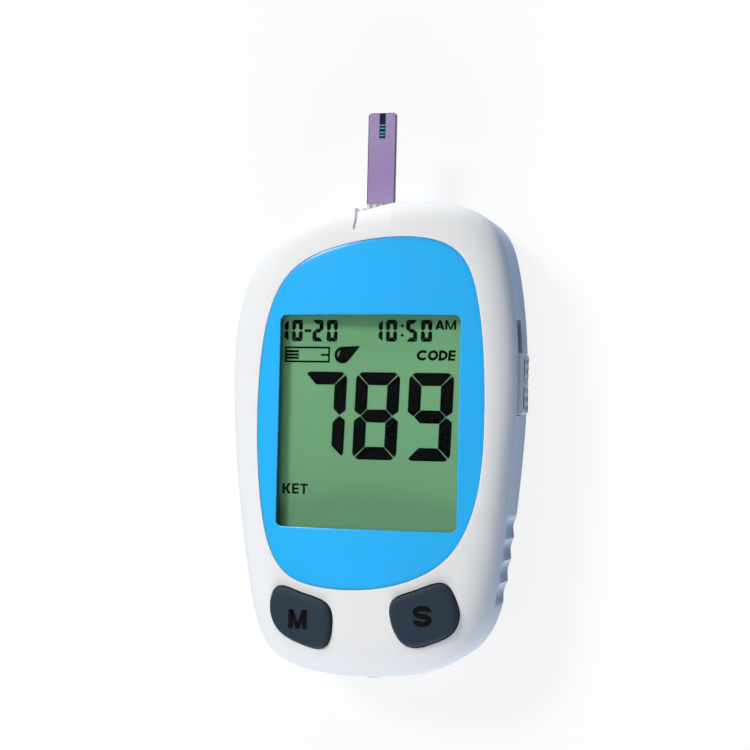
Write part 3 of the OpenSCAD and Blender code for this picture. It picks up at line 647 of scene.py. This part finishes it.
RECESS_SIDES, RECESS_TOP, RECESS_FOOT, RECESS_OUT = (-8, 8), 31, 13, 6
PORT_POINTS = [(-3.6, 40.9), (0.3, 41.7), (4.3, 41.9), (3.95, 44.2), (3.95, 47), (3.95, 51),
               (0, 53), (-6.5, 52), (-5.6, 48.3), (-3.2, 45.2), (-3.3, 43.2)]


def crown(x):
    """Height of the front over a place x: a circle's arc from side to side."""
    return FACE_HEIGHT - CROWN_RADIUS + np.sqrt(CROWN_RADIUS**2 - x**2)


def on_crown(outline, down):
    return at_height(outline, crown(outline[:, 0]) - down)


def roll(inner, outer, width, down, low, turn):
    """Ring of the roll between the crowned front, turn 0, and the side, turn 90 degrees. It is a
    superellipse: in by width x (1 - sin^(2/p)), and up from low by cos^(2/p), p the power."""
    span = inner - outer
    far = np.linalg.norm(span, axis=1)[:, None]
    flat = outer + span / far * np.minimum(far, width) * (1 - np.sin(turn) ** (2 / ROLL_POWER))
    top = crown(flat[:, 0]) - down
    return at_height(flat, low + (top - low) * max(np.cos(turn), 0) ** (2 / ROLL_POWER))


def port_line(depth, first):
    """Line down the roll from the angle first, lower by depth[0] on top and further in by depth[1]
    at the side: pairs of the distance from the outline and the height."""
    a = np.radians(np.linspace(first, 90, 30))
    out = -depth[1] - (ROLL_WIDTH - depth[1]) * (1 - np.sin(a) ** (2 / ROLL_POWER))
    rise = (FACE_HEIGHT - depth[0] - ROLL_FOOT) * np.clip(np.cos(a), 0, 1) ** (2 / ROLL_POWER)
    return list(zip(out, ROLL_FOOT + rise)) + [(-depth[1], SEAM_HEIGHT)]


def along_port(shape_at, start, end):
    """Solid between two shapes, drawn outwards and upwards at two places along the port. The depth
    that they are drawn for runs out from the recess's left side to 0 at its right."""
    lean, rings = np.radians(PORT_LEAN), []
    for x in (start, end):
        depth = np.array(PORT_DEPTH) * (PORT_SIDES[1] - x) / (PORT_SIDES[1] - PORT_SIDES[0])
        p = anticlockwise(shape_at(depth))
        rings.append(np.column_stack([
            PORT_CENTRE[0] + x * np.cos(lean) - p[:, 0] * np.sin(lean),
            PORT_CENTRE[1] + x * np.sin(lean) + p[:, 0] * np.cos(lean), p[:, 1]]))
    return flat_ended(*rings)


def key_outline(name, grow):
    centre, points = KEYS[name]
    return inset(spline(points, 24), -grow) + centre


panel_ring = ring(spline(PANEL_POINTS))
opening = ring(rounded_rectangle(*[side + LENS_GAP for side in LENS], 1, (0, WINDOW_Y)))
pocket_outside = inset(panel_ring, -POCKET_WALL)
rim = inset(panel_ring, -POCKET_RIM)
seam_edge = [body_at(SEAM_GROOVE, SEAM_HEIGHT), body_at(0.06, ROLL_FOOT - 0.06)]
*rolled, end = [roll(rim, body_ring, ROLL_WIDTH, 0, ROLL_FOOT, a)
                for a in np.radians(np.linspace(90, 0, 46))]
front = [on_crown(end[:, :2] + (rim - end[:, :2]) * s, 0) for s in np.linspace(0, 1, 14)]
edge = [on_crown(inset(panel_ring, -grow), down)
        for grow, down in ((0.12, 0.015), (0.03, 0.06), (0, 0.15))]
under = POCKET_DEPTH + POCKET_FLOOR
pocket = [on_crown(panel_ring, POCKET_DEPTH), on_crown(opening, POCKET_DEPTH),
          on_crown(opening, under), on_crown(pocket_outside, under)]
inner = [roll(pocket_outside, inset(body_ring, WALL), ROLL_WIDTH - WALL, WALL, SEAM_HEIGHT, a)
         for a in np.radians(np.linspace(0, 90, 8))]
front_shell = piece("front_housing", solid(seam_edge + rolled + front + edge + pocket + inner,
                                           looped=True), material=white_abs)
carve(front_shell, "UNION", along_port(
    lambda depth: (port_line(depth + PORT_BACKING[0], BACKING_START)
                   + port_line(depth + PORT_BACKING[1], BACKING_START)[::-1]), *BACKING_SIDES))
recess = piece("recess", along_port(lambda depth: [
    (-ROLL_WIDTH, RECESS_TOP), *port_line(depth, 1), (-depth[1], RECESS_FOOT),
    (RECESS_OUT, RECESS_FOOT), (RECESS_OUT, RECESS_TOP)], *RECESS_SIDES))
carve(recess, "INTERSECT", prism(spline(PORT_POINTS, 16), RECESS_FOOT + 1, RECESS_TOP - 1))
recess_part = (np.array([v.co for v in recess.data.vertices]) / MM,
               [list(face.vertices) for face in recess.data.polygons])
bpy.data.objects.remove(recess)
carve(front_shell, "DIFFERENCE", recess_part,
      *[prism(key_outline(k, KEY_GAP), 15, 30) for k in KEYS])
sharpen(front_shell)
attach(front_shell, "housing")
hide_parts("front_shell")

# -------- faceplate and window
# The faceplate is blue acrylic with a polished face, glued into the pocket a fifth of a millimetre
# low. The wall of its window is painted dark: partly the cut edge's own colour, partly painted
# shade of the window's recess. A hard-coated clear lens is glued behind it.

FACEPLATE, FACE_DROP, FACE_GAP, EDGE_SHADE_DEPTH, WINDOW_RADIUS = 1.2, 0.2, 0.08, 0.45, 1.25
LENS_THICKNESS, LENS_RADIUS, GLUE = 0.8, 1.7, 0.05


def plate_over(outer, inner, top, thickness, edge=0.12):
    """A crowned plate between two outlines, with its edges rounded. Rings go up the outer edge, in
    across the face, down the inner edge and back underneath."""
    share, soft = np.linspace(0, 1, 16), edge * 0.3
    rim_out, rim_in = inset(outer, edge), inset(inner, -edge)
    across = [on_crown(rim_out + (rim_in - rim_out) * s, top) for s in share]
    below = [on_crown(inner + (outer - inner) * s, top + thickness) for s in share]
    return solid([on_crown(outer, top + edge), on_crown(inset(outer, soft), top + soft),
                  *across, on_crown(inset(inner, -soft), top + soft),
                  on_crown(inner, top + edge), *below], looped=True)


blue_acrylic, place = new_material("blue_acrylic")
slow, fine = noise(place, 14), noise(place, 1.2, 3)
x, y, z = (place.part(way) for way in "XYZ")
# Painted shade: the window's wall, deeper than EDGE_SHADE_DEPTH below the face, is painted dark
# blue, partly as the cut edge and partly as the shade of the recess.
depth = FACE_HEIGHT * MM - z - x * x * (0.5 / (CROWN_RADIUS * MM))
half_x, half_y = (side / 2 + 0.3 for side in WINDOW)
cut = (x.band(-half_x, half_x, 0.1) * y.band(WINDOW_Y - half_y, WINDOW_Y + half_y, 0.1)
       * (1 - depth.band(-1, EDGE_SHADE_DEPTH, 0.06)))
blue = slow.mixed(paint(19, 179, 253), paint(21, 183, 255))
finish(place, {"Base Color": cut.mixed(blue, paint(8, 62, 92)),
               "Roughness": fine * 0.08 + slow * 0.08 + 0.16, "Specular IOR Level": 0.35,
               "Normal": fine.bump(0.5, 0.002)})
window_ring = ring(rounded_rectangle(*WINDOW, WINDOW_RADIUS, (0, WINDOW_Y), 24))
faceplate = piece("blue_faceplate", plate_over(inset(panel_ring, FACE_GAP), window_ring,
                                               FACE_DROP, FACEPLATE), "housing", blue_acrylic)
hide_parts("faceplate")

clear_window, place = new_material("clear_window")
smear = noise(place, 6, 3)
WHITE = (1, 1, 1, 1)
gloss = place.node("BsdfGlossy", {"Color": WHITE, "Roughness": 0.06})
clear = place.node("BsdfTransparent", {"Color": (0.965, 0.98, 0.972, 1)})
facing = place.node("LayerWeight", {"Blend": 0.5}, out="Facing")
mirror = facing.maths("POWER", facing, 5.0) * 0.9 + 0.002
surface = place.node("MixShader", {0: mirror * (smear * 0.3 + 0.85), 1: clear, 2: gloss})
place.node("OutputMaterial", {"Surface": surface})


def lens_slab(top, thickness):
    """A crowned slab: its outline drawn in towards its middle in even steps, over and under."""
    middle = np.array([0, WINDOW_Y])
    outline = rounded_rectangle(*LENS, LENS_RADIUS, middle)
    rings = [middle + (outline - middle) * s for s in np.linspace(1, 0.03, 18)]
    return solid([on_crown(flat, top + thickness) for flat in rings[::-1]]
                 + [on_crown(flat, top) for flat in rings])


lens = piece("window_pane", lens_slab(FACE_DROP + FACEPLATE + GLUE, LENS_THICKNESS), "housing",
             clear_window)
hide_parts("window_lens")

# -------- keys
# Two pillow-shaped caps of dark silicone rubber over a plastic core. Each stands 1 mm out of
# the front on a rubber dome, and its letter is printed on.

KEY_BASE, KEY_PROUD, FLANGE, KEY_DOMING = 18.6, 1.0, 0.7, 0.03
KEY_EDGE, KEY_POWER, KEY_RISE = 2, 2.6, (0.1, 0.9)
DOME_TOP, POST_RADIUS, LETTER_RISE = 16.7, 1.6, 0.05


def key_plane(name, x):
    """Height of the plane that touches the crown over the key's centre."""
    at = KEYS[name][0][0]
    return crown(at) - at / np.sqrt(CROWN_RADIUS**2 - at**2) * (x - at)


def key_cap(name):
    """The cap's outline goes up to the front. At a share e of its edge's width from there, its
    height is 0.1 + 0.9 (1 - (1 - e)^p)^(1/p) of the full one, a superellipse of the power p. It
    goes on to its middle with a slight dome."""
    centre = np.array(KEYS[name][0])
    rings = [at_height(key_outline(name, grow), KEY_BASE + up)
             for grow, up in ((FLANGE, 0), (FLANGE, FLANGE), (0, FLANGE))]
    for e in (0, *np.linspace(0.12, 1, 14) ** 2):
        flat = key_outline(name, -e * KEY_EDGE)
        rise = KEY_RISE[0] + KEY_RISE[1] * (1 - (1 - e) ** KEY_POWER) ** (1 / KEY_POWER)
        rings.append(at_height(flat, key_plane(name, flat[:, 0]) + rise * KEY_PROUD - KEY_DOMING))
    top = key_outline(name, -KEY_EDGE)
    for s in (0.8, 0.6, 0.4, 0.2, 0.06):
        flat = centre + (top - centre) * s
        rings.append(at_height(flat, key_plane(name, flat[:, 0]) + KEY_PROUD - KEY_DOMING * s**2))
    return joined(solid(rings), prism(circle(centre, POST_RADIUS), DOME_TOP, KEY_BASE + 0.1))


key_rubber = moulded("key_rubber", paint(37, 50, 64), 0.55, grain=0.16, relief=0.008, tint=0.05,
                     specular=0.15)
letter_ink = moulded("letter_ink", paint(4, 5, 8), 0.5, grain=0.2, tint=0.2, specular=0.06)
for name in KEYS:
    cap = piece(f"{name}_key_cap", key_cap(name), f"{name}_key", key_rubber, 40)
    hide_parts(f"{name}_key")
for name, kind, box in (("memory", "M", (-14.95, -38.45, -10.85, -34.67)),
                        ("set", "S", (10.9, -36.8, 14.75, -32.65))):
    points, faces = joined(*[flat_plate(shape, LETTER_RISE, KEY_PROUD - KEY_DOMING)
                             for shape in word(kind, box, 1.08, 0)])
    points[:, 2] += key_plane(name, points[:, 0])
    piece(f"{name}_letter", (points, faces), f"{name}_key", letter_ink)

DOME_FOOT = [(1.2, 0.9), (1.2, 0.5), (2.6, 0.4), (3.1, 0.0), (4.2, 0.0), (4.2, 0.45)]


def rubber_dome(centre, foot, height):
    """A profile turned round the key's axis: out under the skirt from the hollow for its contact,
    round the foot, up an S-shaped skirt and over a rounded shoulder."""
    up = np.linspace(0, 1, 12)
    skirt = zip(3.5 - 1.4 * eased(up), 0.55 + (height - 0.9) * up)
    profile = [*DOME_FOOT, *skirt, (2.0, height - 0.12), (1.85, height)]
    return solid([at_height(circle(centre, r), foot + z) for r, z in profile])


dome_rubber = moulded("dome_rubber", paint(196, 198, 202), 0.6, tint=0.03)
for name, (centre, _) in KEYS.items():
    lowest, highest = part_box(f"{name}_dome")
    height = (highest.z - lowest.z) / MM
    dome = piece(f"{name}_key_dome", rubber_dome(centre, lowest.z / MM, height), "housing",
                 dome_rubber, 40)
    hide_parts(f"{name}_dome")
    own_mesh(dome)

# -------- ejector
# A grey polyacetal thumb piece with seven small ribs slides in the right wall. Its arm runs
# under the board to the strip's inner end, and a steel spring brings it back.

SLIDER_X, FLANGE_THICKNESS, FLANGE_MARGIN = (25.3, 30.25), 1, 1.2
RIBS, RIB_RISE, RIB_MARGIN, SLIDER_ROUNDING = 7, 0.22, 0.7, 0.5


def slider_outline():
    """The thumb piece from above, anticlockwise. Its face is a row of rounded ribs, cos^3 waves,
    between two rounded ends."""
    y0, y1, step = SLIDER_Y, SLIDER_Y + SLIDER_LENGTH, 0.1
    pitch = (SLIDER_LENGTH - 2 * RIB_MARGIN) / (RIBS - 1)
    y = np.arange(y0, y1 + step / 2, step)
    wave = np.abs(np.cos(np.pi * (y - y0 - RIB_MARGIN) / pitch)) ** 3
    ends = np.minimum(y - y0, y1 - y)
    x = (SLIDER_X[1] - SLIDER_ROUNDING * (1 - eased(ends / SLIDER_ROUNDING))
         + RIB_RISE * wave * eased(ends / 0.3 - 0.2))
    return np.vstack([[(SLIDER_X[0], y1), (SLIDER_X[0], y0)], np.stack([x, y], 1)])


slider_plastic = moulded("slider_plastic", paint(188, 194, 204), 0.5, specular=0.3)
outline, (z0, z1) = slider_outline(), SLIDER_Z
middle = outline.mean(0)
thumb = solid([at_height(middle + (outline - middle) * s, z)
               for z, s in ((z0, 0.985), (z0 + 0.15, 1.0), (z1 - 0.15, 1.0), (z1, 0.985))])
slider = piece("thumb_slider", joined(thumb, block(
    (SLIDER_X[0], SLIDER_Y - FLANGE_MARGIN, z0 - 0.8),
    (SLIDER_X[0] + FLANGE_THICKNESS, SLIDER_Y + SLIDER_LENGTH + FLANGE_MARGIN, z1 + 0.9))),
               "ejector", slider_plastic, 40)
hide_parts("ejector_slider")
dress(moulded("arm_plastic", paint(206, 208, 211), 0.5, tint=0.02), "ejector_arm")

SPRING_X, SPRING_Y, SPRING_Z = 17.8, (24.1, 39), 9.2
COILS, COIL_RADIUS, WIRE_RADIUS = 9, 1.5, 0.22


def coil_spring():
    """The wire's circle carried along a helix round an axis along Y. The circle lies in the
    plane of the way out from the axis and its cross product with the helix's tangent."""
    a = np.linspace(0, 2 * np.pi * COILS, 24 * COILS + 1)[:, None]
    rise = (SPRING_Y[1] - SPRING_Y[0] - 2 * WIRE_RADIUS) / a[-1, 0]
    out = np.hstack([np.cos(a), 0 * a, np.sin(a)])
    line = COIL_RADIUS * out + np.hstack([0 * a, rise * a, 0 * a])
    line += (SPRING_X, SPRING_Y[0] + WIRE_RADIUS, SPRING_Z)
    tangent = np.hstack([-COIL_RADIUS * np.sin(a), rise + 0 * a, COIL_RADIUS * np.cos(a)])
    side = np.cross(tangent / np.linalg.norm(tangent, axis=1)[:, None], out)
    b = full_turn(12)[:, None]
    wire = out[:, None] * np.cos(b) + side[:, None] * np.sin(b)
    return solid(line[:, None] + WIRE_RADIUS * wire)


spring = piece("return_spring", coil_spring(), "housing",
               metal("spring_steel", paint(186, 188, 193), 0.3), 60)
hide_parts("ejector_spring")
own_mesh(spring)

# -------- test strip
# A laminate of white polyester with four carbon tracks, a purple printed cover film, and a
# dark sample channel at its outer end.

STRIP_BOTTOM, STRIP_TIP, STRIP_LENGTH, STRIP_CORNER = 14.725, 66.7, 32, 0.7
STRIP_TOP, FILM_START, FILM, EDGE_SHADE_SIDES = STRIP_BOTTOM + 0.35, 48, 0.15, (-2.84, 2.7)
MARKS_Y, MARK_LENGTH, MARK_WIDTH = (62.06, 62.68, 63.54, 64.18), 1.04, 0.22


def strip_outline(near):
    """Rectangle from near to the strip's tip, with its two outer corners rounded."""
    a = np.linspace(0, np.pi / 2, 9)
    right = np.stack([STRIP_HALF_WIDTH - STRIP_CORNER * (1 - np.cos(a)),
                      STRIP_TIP - STRIP_CORNER * (1 - np.sin(a))], 1)
    half = np.vstack([[(STRIP_HALF_WIDTH, near)], right])
    return np.vstack([half, half[::-1] * (-1, 1)])


strip_white, place = new_material("strip_white")
fibre = noise(place, 0.3, 3)
finish(place, {"Base Color": fibre.mixed(paint(228, 229, 230), paint(242, 243, 243)),
               "Roughness": fibre * 0.1 + 0.4})
base = piece("strip_card", prism(strip_outline(STRIP_TIP - STRIP_LENGTH), STRIP_BOTTOM, STRIP_TOP),
             "test_strip", strip_white, 25)
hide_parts("strip_base")

purple_film, place = new_material("purple_film")
screen = noise(place, 0.25, 2)
body_tone = screen.mixed(paint(156, 130, 183), paint(161, 137, 190))
# Painted shade: the film is painted dark in a narrow band along its left side, a wider one along
# its right side and a thin one at its tip, for its shaded edges.
clear_of_edge_shade = place.part("X").band(*EDGE_SHADE_SIDES, 0.03) * place.part("Y").band(0, STRIP_TIP - 0.1, 0.02)
finish(place, {"Base Color": clear_of_edge_shade.mixed(paint(50, 34, 58), body_tone),
               "Roughness": screen * 0.08 + 0.34, "Normal": screen.bump(0.2, 0.003)})
film = piece("strip_film", prism(strip_outline(FILM_START), STRIP_TOP, STRIP_TOP + FILM),
             "test_strip", purple_film, 25)
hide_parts("strip_cover")
dress(moulded("carbon_ink", paint(176, 178, 172), 0.6, grain=0.1, relief=0.004, tint=0.06),
      "strip_electrodes")

channel_film, place = new_material("channel_film")
up, reach = place.part("Y"), MARK_LENGTH / 2
first, *others = [up.band(y - MARK_WIDTH / 2, y + MARK_WIDTH / 2, 0.04) for y in MARKS_Y]
marks = sum(others, first) * place.part("X").band(-reach, reach, 0.04)
finish(place, {"Base Color": marks.mixed(paint(10, 22, 48), paint(84, 186, 176)),
               "Roughness": noise(place, 0.3) * 0.1 + 0.4, "Specular IOR Level": 0.1})
dress(channel_film, "strip_channel")

# -------- battery door
# A flat ABS lid in the meter's back. Two hooks hold its lower edge and a sprung tongue its
# upper edge, where a hollow takes the fingertip. Ribs inside cradle the cells.

DOOR_THICKNESS, TONGUE, TONGUE_LENGTH, TONGUE_CUT = 1.4, 4.5, 7, 0.3
NOSE, NOSE_REACH, NOSE_FOOT, FINGER_RADIUS = 2.5, 0.12, 0.9, 6
RIB_X, RIB_Y, RIB_TOP, HOOK_WIDTH, HOOK_TOP = 9.5, (-28, -16, -4), 3.2, 2.3, 2.75
outline = rounded_rectangle(2 * DOOR_HALF_WIDTH, DOOR_Y[1] - DOOR_Y[0], 1.8,
                            (0, sum(DOOR_Y) / 2), 12)
door = piece("battery_lid", solid([at_height(inset(outline, d), z) for z, d in (
    (0, 0.25), (0.07, 0.07), (0.25, 0), (DOOR_THICKNESS, 0))]), material=white_abs)
root = DOOR_THICKNESS - 0.1
carve(door, "UNION",
      block((-NOSE, DOOR_Y[1] - 0.5, NOSE_FOOT), (NOSE, DOOR_Y[1] + NOSE_REACH, DOOR_THICKNESS)),
      *[block((-RIB_X, y, root), (RIB_X, y + 1, RIB_TOP)) for y in RIB_Y],
      *[block((x, DOOR_Y[0] + y0, z), (x + HOOK_WIDTH, DOOR_Y[0] + y1, HOOK_TOP))
        for x in (HOOK_X[0], -HOOK_X[1]) for y0, y1, z in ((0, 1, root), (-1.9, 0.1, WALL + 0.2))])
fingertip = circle((DOOR_Y[1] - 5.5, -5.2), FINGER_RADIUS, 128)
carve(door, "DIFFERENCE",
      solid([np.column_stack([np.full(128, x), fingertip]) for x in (1 - TONGUE, TONGUE - 1)]),
      *[block((x - TONGUE_CUT, DOOR_Y[1] - TONGUE_LENGTH, -1),
              (x + TONGUE_CUT, DOOR_Y[1] + 1, DOOR_THICKNESS + 1)) for x in (-TONGUE, TONGUE)],
      *[turned([(CELL_RADIUS + 0.3, d) for d in (0, 3)], (x, y - 1, CELL_Z), 1)
        for y in RIB_Y for x in (-CELL_X, CELL_X)])
sharpen(door, 12)
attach(door, "battery_door")
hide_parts("battery_door")

# -------- studio
# A pale floor, one broad lamp high on the left, softer ones from above and both ends, and a long
# lens that looks down on the meter from its right. A lamp below lights the back, and the floor
# lets its light and the view from below through.

CAMERA_PLACE = (94.193, -0.070, 341.85)
AZIMUTH, PITCH, ROLL = 16.15, -2.177, 1.314
LAMPS = {"key": ((-0.62, 0.52, 0.8), 1.76, 16, (1, 0.985, 0.96)),
         "above": ((-0.2, 0, 1), 0.25, 50, (0.85, 0.95, 1)),
         "top_end": ((-0.2, 1, 0.3), 1.8, 36, (1, 0.97, 0.92)),
         "key_end": ((0.07, -1, 0.34), 2.45, 36, (0.97, 0.97, 1)),
         "below": ((-0.15, 0, -1), 0.7, 10, (1, 1, 1))}
SKY, SKY_POWER = (0.72, 0.86, 1), 0.06
FLOOR_BOUNCE, FLOOR_GLOW, FLOOR_REACH, FLOOR_Z = (0.25, 0.42, 0.74), 0.82, 3000, -0.05


def axes(toward, side):
    """Rotation whose Z points along toward and whose X leans to side."""
    z = np.array(toward, float) / np.linalg.norm(toward)
    x = side - z * np.dot(side, z)
    x /= np.linalg.norm(x)
    return np.column_stack([x, np.cross(z, x), z])


def set_up(data, turn, place):
    made = bpy.data.objects.new(data.name, data)
    made.matrix_world = Matrix(np.vstack([np.column_stack([turn, place]), (0, 0, 0, 1)]).tolist())
    bpy.context.scene.collection.objects.link(made)
    return made


for name, (toward, power, size, colour) in LAMPS.items():
    lamp = bpy.data.lights.new(f"{name}_lamp", "SUN")
    lamp.energy, lamp.angle, lamp.color = power, np.radians(size), colour
    set_up(lamp, axes(toward, np.array([1.0, 0, 0])), toward)


def looked_at(place):
    """1 for the rays by which the camera, glass or a glossy surface sees a thing."""
    camera, glossy, clear = (place.node("LightPath", {}, out=f"Is {kind} Ray")
                             for kind in ("Camera", "Glossy", "Transmission"))
    return place.maths("MAXIMUM", place.maths("MAXIMUM", camera, glossy), clear)


world = bpy.data.worlds.new("studio")
world.use_nodes = True
world.node_tree.nodes.clear()
seen = looked_at(Shade(world.node_tree, None))
sky = seen.node("Background", {"Color": (*SKY, 1), "Strength": SKY_POWER})
backdrop = seen.node("Background", {"Color": WHITE, "Strength": 1.0})
seen.node("OutputWorld", {"Surface": seen.node("MixShader", {0: seen, 1: sky, 2: backdrop})})
bpy.context.scene.world = world

pale_floor, place = new_material("pale_floor")
seen = looked_at(place)
matt = place.node("BsdfDiffuse", {"Color": seen.mixed(FLOOR_BOUNCE, WHITE[:3])})
glow = place.node("Emission", {"Color": WHITE, "Strength": 1.0})
upper_side = place.node("MixShader", {0: seen * FLOOR_GLOW, 1: matt, 2: glow})
under = place.node("NewGeometry", {}, out="Backfacing")
shadow = place.node("LightPath", {}, out="Is Shadow Ray")
place.node("OutputMaterial", {"Surface": place.node("MixShader", {
    0: place.maths("MAXIMUM", under, shadow), 1: upper_side,
    2: place.node("BsdfTransparent", {})})})
corners = FLOOR_REACH * np.array([(-1, -1), (1, -1), (1, 1), (-1, 1)])
floor = piece("floor", (at_height(corners, FLOOR_Z), [[0, 1, 2, 3]]), material=pale_floor)

lens_data = bpy.data.cameras.new("camera")
lens_data.lens, lens_data.sensor_width = 80, 36
lens_data.clip_start, lens_data.clip_end = 0.01, 20
az, pitch, tilt = np.radians([AZIMUTH, PITCH, ROLL])
upright = axes((np.sin(az) * np.cos(pitch), np.sin(pitch), np.cos(az) * np.cos(pitch)),
               np.array([np.cos(az), 0, -np.sin(az)]))
tilted = upright @ [[np.cos(tilt), -np.sin(tilt), 0], [np.sin(tilt), np.cos(tilt), 0], [0, 0, 1]]
bpy.context.scene.camera = set_up(lens_data, tilted, np.array(CAMERA_PLACE) * MM)
bpy.context.scene.view_settings.view_transform = "Standard"
